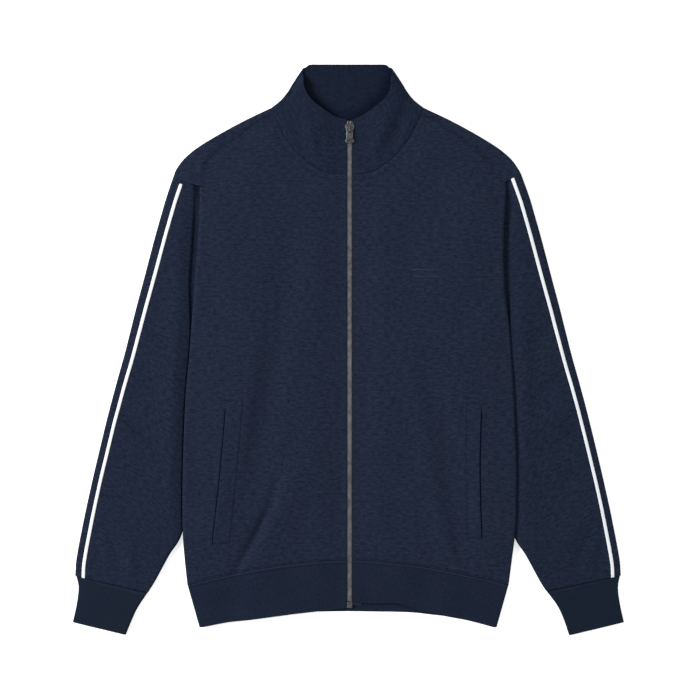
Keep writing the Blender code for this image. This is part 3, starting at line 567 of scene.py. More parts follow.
def finish_material(tree, shader, color, height, strength, distance):
    """Gives the shader a colour and a bump of that strength and distance in metres."""
    values = {"Strength": strength, "Distance": distance, "Height": height}
    bump = put_node(tree, "ShaderNodeBump", values)
    tree.links.new(color, shader.inputs["Base Color"])
    tree.links.new(bump.outputs[0], shader.inputs["Normal"])


VECTOR, COLOR, FLOAT = "NodeSocketVector", "NodeSocketColor", "NodeSocketFloat"
YARNS = (
    ("Weave", VECTOR, None),
    ("Dark yarn", COLOR, (0.01, 0.014, 0.03, 1)),
    ("Light yarn", COLOR, (0.03, 0.04, 0.07, 1)),
)
KNIT_RESULTS = (("Color", COLOR), ("Height", FLOAT))
heather, given, result = new_group(
    "heather_knit", (*YARNS, ("Contrast", FLOAT, 1), ("Loop width", FLOAT, 0.0013)), KNIT_RESULTS
)
streaks = stretched_noise(heather, given["Weave"], 0.0084, 0.0034, 2)
fibres = stretched_noise(heather, given["Weave"], 0.0042, 0.0022, 2)
clouds = stretched_noise(heather, given["Weave"], 0.07, 0.05, 2)
mixed = weighted_sum(heather, ((streaks, 1.5), (fibres, 1.1), (clouds, 0.15)), 0)
share = math_of(heather, "MULTIPLY_ADD", mixed, given["Contrast"], 0.5, use_clamp=True)
heather.links.new(mix_of(heather, share, given["Dark yarn"], given["Light yarn"]), result["Color"])
split = parts_of(heather, given["Weave"])
wales, courses = (row_wave(heather, split[way], given["Loop width"]) for way in (0, 1))
loops = weighted_sum(heather, ((wales, 0.3), (courses, 0.25), (streaks, 0.9), (fibres, 0.6)), 0)
heather.links.new(loops, result["Height"])

# The masks of the grooves along stitched rows and of mouths. jersey bumps the grooves in and darkens both
# with painted shade.
sewn_rows, given, result = new_group(
    "sewn_rows",
    (
        ("Ways", VECTOR, None),
        ("Past", VECTOR, None),
        ("Row spread", FLOAT, 0.003),
        ("Reach", FLOAT, 0.0016),
    ),
    (("Groove", FLOAT), ("Mouth", FLOAT)),
)
near = [math_of(sewn_rows, "ABSOLUTE", way) for way in parts_of(sewn_rows, given["Ways"])]
near[1] = math_of(sewn_rows, "ABSOLUTE", math_of(sewn_rows, "SUBTRACT", near[1], given["Row spread"]))
near = [math_of(sewn_rows, "ADD", *both) for both in zip(near, parts_of(sewn_rows, given["Past"]))]
for distance, mask in ((math_of(sewn_rows, "MINIMUM", near[0], near[1]), "Groove"), (near[2], "Mouth")):
    groove = range_of(sewn_rows, distance, 0, given["Reach"], 1, 0, interpolation_type="SMOOTHSTEP")
    sewn_rows.links.new(groove, result[mask])


def knitted(name, group, dark, light, roughness):
    """A matt cloth with a knit group on its own weave: its material, tree, shader and knit."""
    material, tree, shader = new_material(name, {"Roughness": roughness, "Specular IOR Level": 0.03})
    weave = put_node(tree, "ShaderNodeUVMap", uv_map="weave").outputs[0]
    values = {"Weave": weave, "Dark yarn": (*dark, 1), "Light yarn": (*light, 1)}
    return material, tree, shader, put_node(tree, "ShaderNodeGroup", values, node_tree=group).outputs


PAINTED_SHADE_NAVY = (0.0006, 0.0028, 0.0110, 1)  # painted shade: the near-black navy that grooves and mouths are darkened towards


def jersey(name, dark, light, sewn=None):
    """Sweat jersey in heather yarn, matt and a little fuzzy.

    sewn gives the strength of the painted shade in the grooves of stitched rows, its strength in a
    mouth, and their reach, at the distances in the piece's "sewn_way". The grooves are bumped in as well."""
    material, tree, shader, knit = knitted(name, heather, dark, light, 0.95)
    color, height = knit["Color"], knit["Height"]
    if sewn:
        groove_shade, mouth_shade, reach = sewn
        rows = put_node(tree, "ShaderNodeGroup", node_tree=sewn_rows)
        for attribute, socket in (("sewn_way", "Ways"), ("sewn_past", "Past")):
            ways = put_node(tree, "ShaderNodeAttribute", attribute_name=attribute)
            tree.links.new(ways.outputs["Vector"], rows.inputs[socket])
        rows.inputs["Reach"].default_value = reach
        groove, mouth = rows.outputs
        height = weighted_sum(tree, ((height, 1), (groove, -1.6)), 0)
        # Painted shade: grooves along stitched rows and mouths are darkened towards navy.
        shade = weighted_sum(tree, ((groove, groove_shade), (mouth, mouth_shade)), 0)
        color = mix_of(tree, shade, color, PAINTED_SHADE_NAVY)
    finish_material(tree, shader, color, height, 0.5, 0.0004)
    return material


SLEEVE_DARK = (0.0064, 0.0112, 0.0252)
SLEEVE_LIGHT = (0.0177, 0.0236, 0.0423)
HEAD_COLUMNS = slice(0, 70)  # the head's upper layer and half of its outer fold
HEAD_TURN_ROW = 8
ALLOWANCE = (-5, 3)  # the seam's allowance lies under both edges
ALLOWANCE_DEPTH = -1.65
sleeves = {}
for hand, side in SIDES:
    rows, run = sections_between(sleeve_sections(hand), SLEEVE_ROWS)
    outer, inner, base, swell = rows[:, :2], rows[:, 2:4], rows[:, 4], rows[:, 5]

    def top(x, drop, inset):
        return sleeve_top(x, drop, inset, base, swell, run, hand)

    closed = rows[:, 3] >= ARMPIT_DROP
    places, flat = tube_skin(outer, inner, top, closed, hand, underside, run)
    head = places[0, HEAD_COLUMNS]
    down = places[HEAD_TURN_ROW, HEAD_COLUMNS] - head
    down /= np.linalg.norm(down, axis=1)[:, None]
    off = np.cross(np.gradient(head, axis=0), down)
    off *= ALLOWANCE_DEPTH * hand / np.linalg.norm(off, axis=1)[:, None]
    allowance = np.stack([head + off + down * step for step in np.linspace(*ALLOWANCE, 5)])
    skins = [(places, flat, hand == LEFT), (allowance, allowance[..., :2] * (1, -1), hand == LEFT)]
    sleeve_jersey = jersey(f"sleeve_{side}_jersey", SLEEVE_DARK, SLEEVE_LIGHT)
    name, node = f"jersey_sleeve_{side}", f"sleeve_{side}"
    sleeve = cloth(name, node, "body_jersey", skins, JERSEY, 0.4, sleeve_jersey)
    declare_cut(sleeve, skins[:1])
    sleeves[hand] = (outer, inner, run, top)

# ---------------------------------------------------------------- sleeve stripes
# A narrow flat white woven tape, sewn down each sleeve from the shoulder to the cuff seam, about
# 10 mm in from the sleeve's outer fold. Its two edges are stitched down, so they lie close.

STRIPE_INSET = np.array(((0, 11.5), (120, 11.5), (250, 10.4), (400, 10), (560, 9.5)))
STRIPE_WIDTH = 4.7
STRIPE_START = {RIGHT: 4, LEFT: 1.6}  # distance down the sleeve
STRIPE_THICKNESS = 0.7


def woven(name, shader_values, pitches, weights, start, thin, thick, soiled=0):
    """Woven tape with its warp and weft at two pitches, from a thin to a thick colour."""
    material, tree, shader = new_material(name, shader_values)
    weave = put_node(tree, "ShaderNodeUVMap", uv_map="weave").outputs[0]
    split = parts_of(tree, weave)
    terms = [(row_wave(tree, split[way], pitches[way]), weights[way]) for way in (0, 1)]
    if soiled:
        terms.append((stretched_noise(tree, weave, 0.006, 0.02, 3), soiled))
    cover = weighted_sum(tree, terms, start)
    finish_material(tree, shader, mix_of(tree, cover, (*thin, 1), (*thick, 1)), cover, 0.5, 0.0002)
    return material


stripe_cloth = woven(
    "stripe_tape_woven",
    {"Roughness": 0.8, "Specular IOR Level": 0.3, "Sheen Weight": 0.1},
    (0.0006, 0.0008), (0.2, 0.25), 0.45, (0.62, 0.65, 0.69), (0.86, 0.88, 0.9), 0.5,
)

for hand, side in SIDES:
    outer, inner, run, top = sleeves[hand]
    way = (outer - inner) / np.linalg.norm(outer - inner, axis=1)[:, None]
    columns = []
    for share in evenly(6):
        inset = column_at(STRIPE_INSET, run) + (1 - share) * STRIPE_WIDTH
        x, drop = (outer - way * inset[:, None]).T
        edge = 0.35 * (2 * abs(share - 0.5)) ** 4
        columns.append(flat_places(x, drop, top(x, drop, inset) + STRIPE_THICKNESS + 0.3 - edge, hand))
    grid = np.stack(columns, axis=1)
    start = STRIPE_START[hand]
    kept = run > start
    first = np.apply_along_axis(lambda values: np.interp(start, run, values), 0, grid)
    grid = np.concatenate((first[None], grid[kept]))
    down = np.concatenate(([start], run[kept]))
    across = np.linspace(0, STRIPE_WIDTH, grid.shape[1])
    flat = np.stack(np.meshgrid(across, down), axis=-1)
    skins = [(grid, flat, hand == LEFT)]
    name, node = f"stripe_tape_{side}", f"sleeve_stripe_{side}"
    cloth(name, node, "stripe_tape", skins, STRIPE_THICKNESS, 0.2, stripe_cloth)

# ---------------------------------------------------------------- cuffs
# Cuffs of fine rib, folded double, each a tube that is narrower than the sleeve's end. The seam
# is turned up and stitched down, so the cuff starts with a small ridge.

DOUBLED = 2
FOLD_ROUNDING = 0.9
CUFF = {
    # outer x and drop, inner x and drop, height
    RIGHT: np.array((
        (374.7, 707.2, 276, 729.8, 5.4),
        (371.7, 722, 288.6, 748.6, 5.4),
        (374, 744, 296.1, 763.5, 5.2),
        (379.6, 770.6, 306.4, 788.2, 5),
    )),
    LEFT: np.array((
        (376.4, 706.6, 274.8, 727.8, 5.4),
        (373.9, 722, 288.3, 745.5, 5.4),
        (376.3, 744, 297.4, 763.5, 5.2),
        (382, 770.6, 306.2, 788.8, 5),
    )),
}
CUFF_ROWS = 34

rib_group, given, result = new_group(
    "rib_knit", (*YARNS, ("Rib width", FLOAT, 0.0021), ("Rubbed line", FLOAT, 0.0024)), KNIT_RESULTS
)
split = parts_of(rib_group, given["Weave"])
ribs = row_wave(rib_group, split[0], given["Rib width"])
fibres = stretched_noise(rib_group, given["Weave"], 0.0025, 0.004, 3)
clouds = stretched_noise(rib_group, given["Weave"], 0.03, 0.04, 2)
# Painted highlight: a lighter line 2.4 mm from the seam, where the folded rib's edge catches the light.
# Painted shade: darker right at the seam.
away = math_of(rib_group, "ABSOLUTE", math_of(rib_group, "SUBTRACT", split[1], given["Rubbed line"]))
painted_highlight, painted_seam_shade = (range_of(rib_group, distance, 0, 0.0014, 1, 0) for distance in (away, split[1]))
terms = (ribs, 0.35), (fibres, 0.9), (clouds, 0.3), (painted_highlight, 0.9), (painted_seam_shade, -0.6)
share = weighted_sum(rib_group, terms, 0.4)
yarn = mix_of(rib_group, share, given["Dark yarn"], given["Light yarn"], clamp_factor=False)
rib_group.links.new(yarn, result["Color"])
rib_group.links.new(weighted_sum(rib_group, ((ribs, 1), (fibres, 0.5)), 0), result["Height"])


def rib(name, dark, light):
    """Fine rib, matt, with its ribs along v."""
    material, tree, shader, knit = knitted(name, rib_group, dark, light, 0.92)
    finish_material(tree, shader, knit["Color"], knit["Height"], 0.4, 0.0004)
    return material


CUFF_DARK = (0.0061, 0.0111, 0.0218)
CUFF_LIGHT = (0.0117, 0.0174, 0.0303)


def seam_ridge(run):
    """A rib piece starts with the ridge of its turned seam, then dips."""
    return 0.55 * np.exp(-(((run - 1.6) / 1.4) ** 2)) - 0.3 * np.exp(-(((run - 5) / 2.6) ** 2))


for hand, side in SIDES:
    rows, run = sections_between(CUFF[hand], CUFF_ROWS)
    outer, inner, base = rows[:, :2], rows[:, 2:4], rows[:, 4]

    def cuff_top(x, drop, inset):
        loose = 0.5 + 0.12 * rippled(x * hand, drop) + seam_ridge(run)
        return (base + loose) * edge_softness(inset, 0.12, 8)

    closed = np.full(len(run), True)
    places, flat = tube_skin(outer, inner, cuff_top, closed, hand, underside, run)
    skins = [(places, flat, hand == LEFT)]
    cuff_rib = rib(f"cuff_{side}_rib", CUFF_DARK, CUFF_LIGHT)
    name, node = f"rib_cuff_{side}", f"cuff_{side}"
    cuff = cloth(name, node, "rib_jersey", skins, DOUBLED, FOLD_ROUNDING, cuff_rib)
    declare_cut(cuff, skins)

# ---------------------------------------------------------------- back
# The back is one panel of sweat jersey that lies on the floor. At each shoulder it comes forward
# over the fold, to the seam on the front.

FRONT_UNDER = 3.6  # underside of the front, where it lies on the zip tapes
TUCK_LIFT = 3.7  # how far the body's side is lifted by the sleeve under it
FRONT_RAMP = 84
BACK_RAMP = 30
LIFT_REACH = 26
LIFT_START = (90, 135, 172)  # drops: none, half and full
LIFT_END = (655, 720)
BACK_LIFT_START = (289, 349)
HEM_PRESSED = (610, 722)  # drops between full cloth and the hem seam's
HEM_LOSS = 0.6
TOP_FULL = 0.3  # share of full at the neck and shoulder seams
TOP_REACH = 80
BODY_RIPPLE = 0.45
BODY_FULL = 4.4
BODY_CLEAR = (8, 46)  # flat beside the zip for that far, and fuller over the next
CREASE_CLEAR = (8, 22)
SEAM_CLEAR = (14, 10)
SIDE_SOFTNESS = {RIGHT: (-0.25, 0.3), LEFT: (0.4, 0.75)}  # top, low
SIDE_LOW = (300, 400)  # drops between those two
SIDE_REACH = 24
TURN_UNDER = np.array((
    (374, 64), (430, 48), (480, 36), (540, 28), (600, 25), (660, 22), (719, 20)
))
SHOULDER_OUTLINE = (
    (106, 60.5), (141.4, 77.3), (167.1, 91), (191.1, 104.9), (212, 118.7), (227.3, 132.5), (237, 146.3)
)
FRONT_NECK = (
    (7.5, 152), (24, 150.5), (40, 145.5), (53, 136.6), (66.7, 125), (77.5, 113), (86, 101),
    (93.2, 87.5), (101.5, 69.5),
)
BACK_NECK = ((0, 80.5), (35, 79), (70, 72.5))
FORWARD_SHOULDER = ((101.5, 69.5), (119, 75.5), (138, 89.5), (166, 109.5))
SHOULDER_BEND = {RIGHT: ((188, 127.5), (196.4, 143.5)), LEFT: ((192, 129.5), (204, 144))}
HEM_SEAM = np.array((
    (0, 685), (31, 686), (61, 688.5), (96, 692.5), (130, 698), (153, 702.5), (180, 708.5),
    (201, 713), (222, 719),
))
ROW_REACH = 3.5  # a row of stitches pulls the cloth in up to here
VERY_FAR = 1000
FAR_AWAY = [((0, -900), (1, -900))]  # in place of a group that a piece hasn't got
SHOULDER_COLUMNS = 46
NECK_SHARE = 0.47
BACK_NECK_COLUMNS = 34
BACK_ROWS = 150
BACK_HEM_LOWER = 6  # the back's seam hangs a little lower in its middle
STRIP_WIDTH = 16  # from the forward seam to the shoulder's fold
KNEE_DROP = 28  # from the shoulder's fold down to the first row at full width
BODY_CREASES = (
    # each a path of (x, drop), its half width and its height, below zero for a trough
    (((-85, 305), (-105, 437), (-126, 526), (-143, 603)), 21, -5),
    (((-72, 560), (-96, 622), (-122, 690)), 17, 3.2),
    (((-96, 578), (-108, 612), (-126, 650), (-154, 701)), 6, -5),
    (((-130, 400), (-138, 500), (-152, 585)), 13, 2),
    (((104, 403), (134, 498), (147, 584), (166, 655)), 20, -4.8),
    (((222, 420), (227, 520), (226, 640)), 11, 1.6),
    (((-216, 400), (-221, 520), (-221, 640)), 9, 1.4),
    (((110, 560), (132, 640), (149, 694)), 13, 3),
    (((143, 636), (151, 662), (161, 690)), 7, -2.2),
    (((88, 400), (104, 500), (112, 560)), 14, 1.8),
    (((-206, 296), (-180, 338), (-148, 370)), 15, -1.6),
    (((205, 286), (176, 336), (150, 380)), 15, -1.6),
    (((-60, 200), (-82, 270), (-90, 340)), 20, -1.3),
    (((60, 190), (84, 270), (100, 360)), 22, -1.3),
    (((-186, 190), (-168, 240), (-160, 300)), 18, 1.3),
    (((184, 186), (168, 240), (158, 310)), 18, 1.3),
    (((-40, 560), (-56, 620), (-66, 690)), 14, -1.5),
    (((48, 540), (66, 620), (84, 690)), 14, -1.5),
)


def sleeve_inner_x(drop, hand):
    """The sleeve's inner line under the body."""
    sections = [row[2:4] for row in (*SLEEVE_TUBE, SLEEVE_END[hand])]
    xs, drops = zip((armhole_x(ARMPIT_DROP, hand), ARMPIT_DROP), *sections)
    below = smooth(drops, xs, drop)
    return np.where(drop <= ARMPIT_DROP, armhole_x(drop, hand), below)


def lifted(x, drop, hand, reach):
    """How far the sleeve under the body's side lifts the cloth above it."""
    across = ease((x - sleeve_inner_x(drop, hand) + LIFT_REACH + reach) / reach)
    top, middle, full = LIFT_START
    shoulder = blend(0.5 * ramp(drop, top, middle), 1, ramp(drop, middle, full))
    return TUCK_LIFT * across * shoulder * (1 - ramp(drop, *LIFT_END))


def back_lifted(x, drop, hand):
    return lifted(x, drop, hand, BACK_RAMP) * ramp(drop, *BACK_LIFT_START)


def zip_clearance(x, hand, flat, width):
    """0 up to that flat distance from the zip, then rising to 1 in the width."""
    return ease((abs(x * hand - ZIP_X) - flat) / width)


def body_fullness(x, drop, hand):
    """Soft cloth stands above its pressed height: not at the zip, and least at the seams."""
    line = FRONT_NECK + FORWARD_SHOULDER[1:] + SHOULDER_BEND[LEFT] + ((207, 160),)
    top_line = np.interp(x, *zip(*line))
    top = blend(TOP_FULL, 1, ramp(drop - top_line, 0, TOP_REACH))
    softness = blend(*SIDE_SOFTNESS[hand], ramp(drop, *SIDE_LOW))
    side = 1 - softness * np.exp(-(((side_x(drop, hand) - x) / SIDE_REACH) ** 2))
    hem = 1 - HEM_LOSS * ramp(drop, *HEM_PRESSED)
    return BODY_FULL * zip_clearance(x, hand, *BODY_CLEAR) * top * side * hem


def front_under(x, drop, hand):
    """The underside of the upper layer of the body."""
    folds = creased(x * hand, drop, BODY_CREASES) + BODY_RIPPLE * rippled(x * hand, drop)
    soft = body_fullness(x, drop, hand) + folds * zip_clearance(x, hand, *CREASE_CLEAR)
    return FRONT_UNDER + lifted(x, drop, hand, FRONT_RAMP) + soft


def turned(place, outward, low, high, slide=(0, 0)):
    """Columns of places round a fold, from its top to its underside. place is the fold's axis.

    slide is how far the top lies along the fold, and the underside the other way."""
    radius = (high - low) / 2
    columns = []
    for turn in HALF_TURN:
        out, along_fold = radius * math.cos(turn), math.sin(turn)
        x, drop = (place[axis] + outward[axis] * out + slide[axis] * along_fold for axis in (0, 1))
        columns.append((x, drop, low + radius * (1 + along_fold)))
    return columns


def fold_radius_at(side, drop, low, wall, hand):
    """Radius and top of a fold whose outermost line is at the body's side."""
    radius = FIRST_RADIUS
    for _ in range(5):
        high = front_under(side - radius, drop, hand) + wall
        radius = (high - low) / 2
    return radius, high


def outward_from(points):
    """Unit vectors square to a line that runs away from the neck, pointing off the cloth."""
    way = np.gradient(points, axis=0)
    way /= np.linalg.norm(way, axis=1)[:, None]
    return np.stack((way[:, 1], -way[:, 0]), axis=-1) * np.sign(way[:, :1])


def side_fold(drop, hand):
    """Radius, underside and top of the body's side fold."""
    side = side_x(drop, hand)
    low = lifted(side, drop, hand, BACK_RAMP)
    radius, high = fold_radius_at(side, drop, low, JERSEY, hand)
    return radius, low, high


def shoulder_line(hand):
    """The forward shoulder seam, from the neck seam to the body's side fold."""
    corner = CORNER_DROP[hand]
    radius, _, _ = side_fold(corner, hand)
    end = (side_x(corner, hand) - radius, corner)
    return along(FORWARD_SHOULDER + SHOULDER_BEND[hand] + (end,), evenly(SHOULDER_COLUMNS))


def shoulder_fold(hand):
    """Places round the shoulder's fold, and the way that it faces."""
    outline = along(SHOULDER_OUTLINE + (SHOULDER_END[hand],), evenly(SHOULDER_COLUMNS))
    high = front_under(outline[:, 0], outline[:, 1], hand) + JERSEY
    normal = outward_from(outline)
    axis = outline - normal * high[:, None] / 2
    return turned(axis.T, normal.T, 0, high), normal


def back_edge_x(drop, hand):
    below = side_x(drop, hand) - column_at(TURN_UNDER, drop)
    return np.where(drop <= ARMPIT_DROP, armhole_x(drop, hand), below)


def keep_vectors(mesh, name, values):
    mesh.attributes.new(name, "FLOAT_VECTOR", "POINT").data.foreach_set("vector", values.ravel())


def mark_sewn(piece, *rows, lit=0):
    """Keeps the distances from three groups of paths, in metres.

    "sewn_way" is signed, so that a row is crisp between two columns of the mesh. It changes its
    sign away from the rows too, and "sewn_past" tells such places apart. lit moves the third
    group away at the wearer's right, so that its painted shade is lighter there."""
    places = np.empty(len(piece.data.vertices) * 3)
    piece.data.vertices.foreach_get("co", places)
    x, drop = places[0::3] / MM, COLLAR_TOP - places[1::3] / MM
    nearest, ways, _ = np.stack([from_paths(x, drop, paths) for paths in rows], axis=-1)
    past = np.maximum(nearest - ROW_REACH, 0)
    past[drop > CORNER_DROP[RIGHT], 1] = VERY_FAR
    past[:, 2] += lit * ramp(-x, 0, 30)
    keep_vectors(piece.data, "sewn_way", ways * MM)
    keep_vectors(piece.data, "sewn_past", past * MM)


def hem_seam(x):
    """The drop of the fronts' hem seam."""
    return column_at(HEM_SEAM, x)


def back_hem_seam(across):
    return hem_seam(across * HEM_SEAM[-1, 0]) + BACK_HEM_LOWER * (1 - across)


def back_half(hand):
    """The outer skins of half of the back: the shoulder strip with its fold, and the panel."""
    seam = shoulder_line(hand)
    fold, _ = shoulder_fold(hand)
    normal = outward_from(seam)
    start = seam + normal * GAP / 2
    strip = []
    for step in (*EDGE_STEPS, 7, 9.5, 12.5):
        x, drop = (blend(start[:, axis], fold[0][axis], step / STRIP_WIDTH) for axis in (0, 1))
        height = front_under(x, drop, hand) + JERSEY + 0.5 * seam_roll(step)
        strip.append(flat_places(x, drop, height, hand))
    strip += [flat_places(*place, hand) for place in fold]
    strip = np.stack(strip)
    lengths = lengths_along(strip)
    flat = np.stack((strip[..., 0], strip[..., 1] + lengths_along(strip[..., :2]) - lengths), axis=-1)

    shoulder_across = blend(NECK_SHARE, 1, evenly(SHOULDER_COLUMNS))
    neck_end = (fold[-1][0][0], fold[-1][1][0])
    neck = along(BACK_NECK + (neck_end,), evenly(BACK_NECK_COLUMNS))[:-1]
    across = np.concatenate((np.linspace(0, NECK_SHARE, BACK_NECK_COLUMNS)[:-1], shoulder_across))
    top_x = np.concatenate((neck[:, 0], fold[-1][0]))
    top_drop = np.concatenate((neck[:, 1] + GAP, fold[-1][1]))
    corner = CORNER_DROP[hand] + GAP
    beyond_neck = np.clip((across - NECK_SHARE) / (1 - NECK_SHARE), 0, 1)
    knee = blend(top_drop + KNEE_DROP, corner, beyond_neck**3)
    panel = []
    for share in evenly(9)[:-1]:
        drop = blend(top_drop, knee, share)
        x = blend(top_x, across * back_edge_x(knee, hand), ease(share))
        panel.append((x, drop))
    for share in evenly(BACK_ROWS):
        drop = blend(knee, back_hem_seam(across), share)
        panel.append((across * back_edge_x(drop, hand), drop))
    x, drop = np.stack(panel, axis=1)
    height = back_lifted(x, drop, hand) + underside(x * hand, drop) * ramp(drop - top_drop, 2, 20)
    panel = flat_places(x, drop, height, hand)
    return [(strip, flat, hand == RIGHT), (panel, np.stack((x * hand, drop), axis=-1), hand == RIGHT)]


BODY_DARK = (0.0072, 0.0122, 0.0270)
BODY_LIGHT = (0.0192, 0.0251, 0.0447)
# Painted shade in its stitched grooves and, at full strength, in the pocket slits.
body_jersey = jersey("body_jersey_heather", BODY_DARK, BODY_LIGHT, sewn=(0.25, 1, 0.0021))
skins = back_half(RIGHT) + back_half(LEFT)
back = cloth("jersey_back", "back", "body_jersey", skins, JERSEY, 0.4, body_jersey)
seams = [shoulder_line(hand) * (hand, 1) for hand, _ in SIDES]
mark_sewn(back, FAR_AWAY, seams, FAR_AWAY)
declare_cut(back, skins)

# ---------------------------------------------------------------- zip
# A closed metal zip on two woven tapes, sewn under the fronts' edges. The teeth are clamped on
# the tapes' edges and lock in turn; a stop closes each tape's top, and a box the bottom.

TAPE_LOW = 2.3
TAPE_THICKNESS = 1
TAPE_RIDGE = 0.2  # a woven ridge beside the teeth
TAPE_RIDGE_X = 4.2
TOOTH_PITCH = 2.4
TOOTH_OUTLINE = (
    # across the zip from the clamp to the head, and half its width
    (-3.42, 0.42), (-3.15, 0.68), (-1.95, 0.7), (-1.35, 0.5),
    (0.5, 0.48), (0.95, 0.57), (1.5, 0.5), (1.72, 0.22),
)
TOOTH_HEIGHT = 2.4
CHAIN_TOP, CHAIN_END = 0.8, 2  # from the solid chain's ends to the teeth's middles
METAL = (0.36, 0.355, 0.362)


# Sets a stamp along each run, with its z on the run's "up" and its x on the run's "way".
RUNS_INPUTS = (
    ("Runs", "Geometry"),
    ("Stamp", "Object"),
    ("Pitch", "Float"),
    ("Scatter", "Float"),
    ("Material", "Material"),
)
RUNS_TREE, given, result = new_group(
    "along_runs",
    [(name, f"NodeSocket{kind}", None) for name, kind in RUNS_INPUTS],
    [("Pieces", "NodeSocketGeometry")],
    "GeometryNodeTree",
)
RUNS_TREE.is_modifier = True
RUNS_SOCKETS = {item.name: item.identifier for item in RUNS_TREE.interface.items_tree}


def run_step(kind, values, **settings):
    return put_node(RUNS_TREE, kind, values, **settings).outputs[0]


curve = run_step("GeometryNodeMeshToCurve", {0: given["Runs"]})
spots = run_step("GeometryNodeResampleCurve", {"Curve": curve, "Length": given["Pitch"]}, mode="LENGTH")
stamp = put_node(RUNS_TREE, "GeometryNodeObjectInfo", {0: given["Stamp"]}).outputs["Geometry"]
up, way = (
    run_step("GeometryNodeInputNamedAttribute", {"Name": name}, data_type="FLOAT_VECTOR")
    for name in ("up", "way")
)
upright = run_step("FunctionNodeAxesToRotation", {0: up, 1: way}, primary_axis="Z", secondary_axis="X")
spread = {"Min": math_of(RUNS_TREE, "MULTIPLY", given["Scatter"], -1), "Max": given["Scatter"], "Seed": 7}
uneven = run_step("FunctionNodeRandomValue", spread, data_type="FLOAT_VECTOR")
turns = {0: upright, 1: run_step("FunctionNodeEulerToRotation", {0: uneven})}
rotation = run_step("FunctionNodeRotateRotation", turns, rotation_space="LOCAL")
stamped = {"Points": spots, "Instance": stamp, "Rotation": rotation}
placed = run_step("GeometryNodeInstanceOnPoints", stamped)
real = run_step("GeometryNodeRealizeInstances", {0: placed})
finished = run_step("GeometryNodeSetMaterial", {0: real, "Material": given["Material"]})
RUNS_TREE.links.new(finished, result["Pieces"])


def set_along(name, runs, stamp, pitch, material, scatter=0):
    """A piece of stamps set along runs. Each run is its points, its ups and its ways, in metres."""
    points, ups, ways = (np.concatenate(column) for column in zip(*runs))
    ends = np.cumsum([len(run[0]) for run in runs])
    edges = [(i, i + 1) for i in range(len(points) - 1) if i + 1 not in ends]
    mesh = bpy.data.meshes.new(name)
    mesh.from_pydata(points.tolist(), edges, [])
    keep_vectors(mesh, "up", ups)
    keep_vectors(mesh, "way", ways)
    obj = add_object(name, mesh)
    modifier = obj.modifiers.new("along_runs", "NODES")
    modifier.node_group = RUNS_TREE
    values = {"Stamp": stamp, "Pitch": pitch * MM, "Scatter": scatter, "Material": material}
    for key, value in values.items():
        modifier[RUNS_SOCKETS[key]] = value
    as_plain_mesh(obj, 40)
    bpy.data.objects.remove(stamp)
    return obj


def object_from(bm, name):
    """An object with a bmesh as its plain mesh."""
    mesh = bpy.data.meshes.new(name)
    bm.to_mesh(mesh)
    bm.free()
    return add_object(name, mesh)


def lofted(name, rings):
    """A closed piece through rings of points in millimetres."""
    bm = bmesh.new()
    rings = [[bm.verts.new(place * MM) for place in np.array(ring)] for ring in rings]
    for low, high in zip(rings, rings[1:]):
        for corners in zip(low, low[1:] + low[:1], high[1:] + high[:1], high):
            bm.faces.new(corners)
    bm.faces.new(rings[-1])
    bm.faces.new(rings[0][::-1])
    bmesh.ops.recalc_face_normals(bm, faces=bm.faces)
    return object_from(bm, name)


def tooth_stamp():
    """One tooth: a bar with a clamp at one end and a rounded head at the other, chamfered."""
    outline = TOOTH_OUTLINE + tuple((across, -half) for across, half in TOOTH_OUTLINE[::-1])
    rings = []
    for height, inset in ((-0.5, 0), (0.32, 0), (0.5, 0.75)):
        narrow, short = 1 - 0.3 * inset, 1 - 0.05 * inset
        rings.append([(half * narrow, across * short, height * TOOTH_HEIGHT) for across, half in outline])
    return lofted("tooth_stamp", rings)


def noise_at(tree, place, scale, detail):
    values = {"Vector": place, "Scale": scale, "Detail": detail}
    return put_node(tree, "ShaderNodeTexNoise", values).outputs[0]


worn, given, result = new_group(
    "worn_metal",
    [("Place", VECTOR, None), ("Metal", COLOR, (0.3, 0.3, 0.3, 1))],
    [("Color", COLOR), ("Roughness", FLOAT), ("Height", FLOAT)],
)
rub, patches = (noise_at(worn, given["Place"], *values) for values in ((900, 3), (160, 2)))
dulled = range_of(worn, patches, 0.3, 0.7, 0.55, 1.15)
worn.links.new(mix_of(worn, 1, given["Metal"], dulled, blend_type="MULTIPLY"), result["Color"])
worn.links.new(range_of(worn, rub, 0.3, 0.7, 0.3, 0.5), result["Roughness"])
worn.links.new(rub, result["Height"])


def gunmetal(name, tone):
    """Dulled dark nickel plating, a little rubbed."""
    material, tree, shader = new_material(name, {"Metallic": 0.9})
    place = put_node(tree, "ShaderNodeTexCoord").outputs["Object"]
    values = {"Place": place, "Metal": (*(tone * part for part in METAL), 1)}
    wear = put_node(tree, "ShaderNodeGroup", values, node_tree=worn).outputs
    tree.links.new(wear["Roughness"], shader.inputs["Roughness"])
    finish_material(tree, shader, wear["Color"], wear["Height"], 0.15, 0.0001)
    return material


def rounded_copy(node, name, rounding, material):
    """A copy of a small CAD part with its edges rounded."""
    bm = bmesh.new()
    bm.from_mesh(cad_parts[node].data)
    bmesh.ops.remove_doubles(bm, verts=bm.verts, dist=0.01 * MM)
    bmesh.ops.dissolve_limit(bm, angle_limit=math.radians(2), verts=bm.verts, edges=bm.edges)
    obj = object_from(bm, name)
    obj.data.materials.append(material)
    round_edges(obj, "rounded_edges", rounding, 3, 25)
    return as_plain_mesh(obj, 35)


tape_cloth = woven(
    "zip_tape_woven",
    {"Roughness": 0.85, "Specular IOR Level": 0.2},
    (0.0011, 0.0009), (0.5, 0.4), 0.1, (0.008, 0.011, 0.02), (0.02, 0.027, 0.045),
)

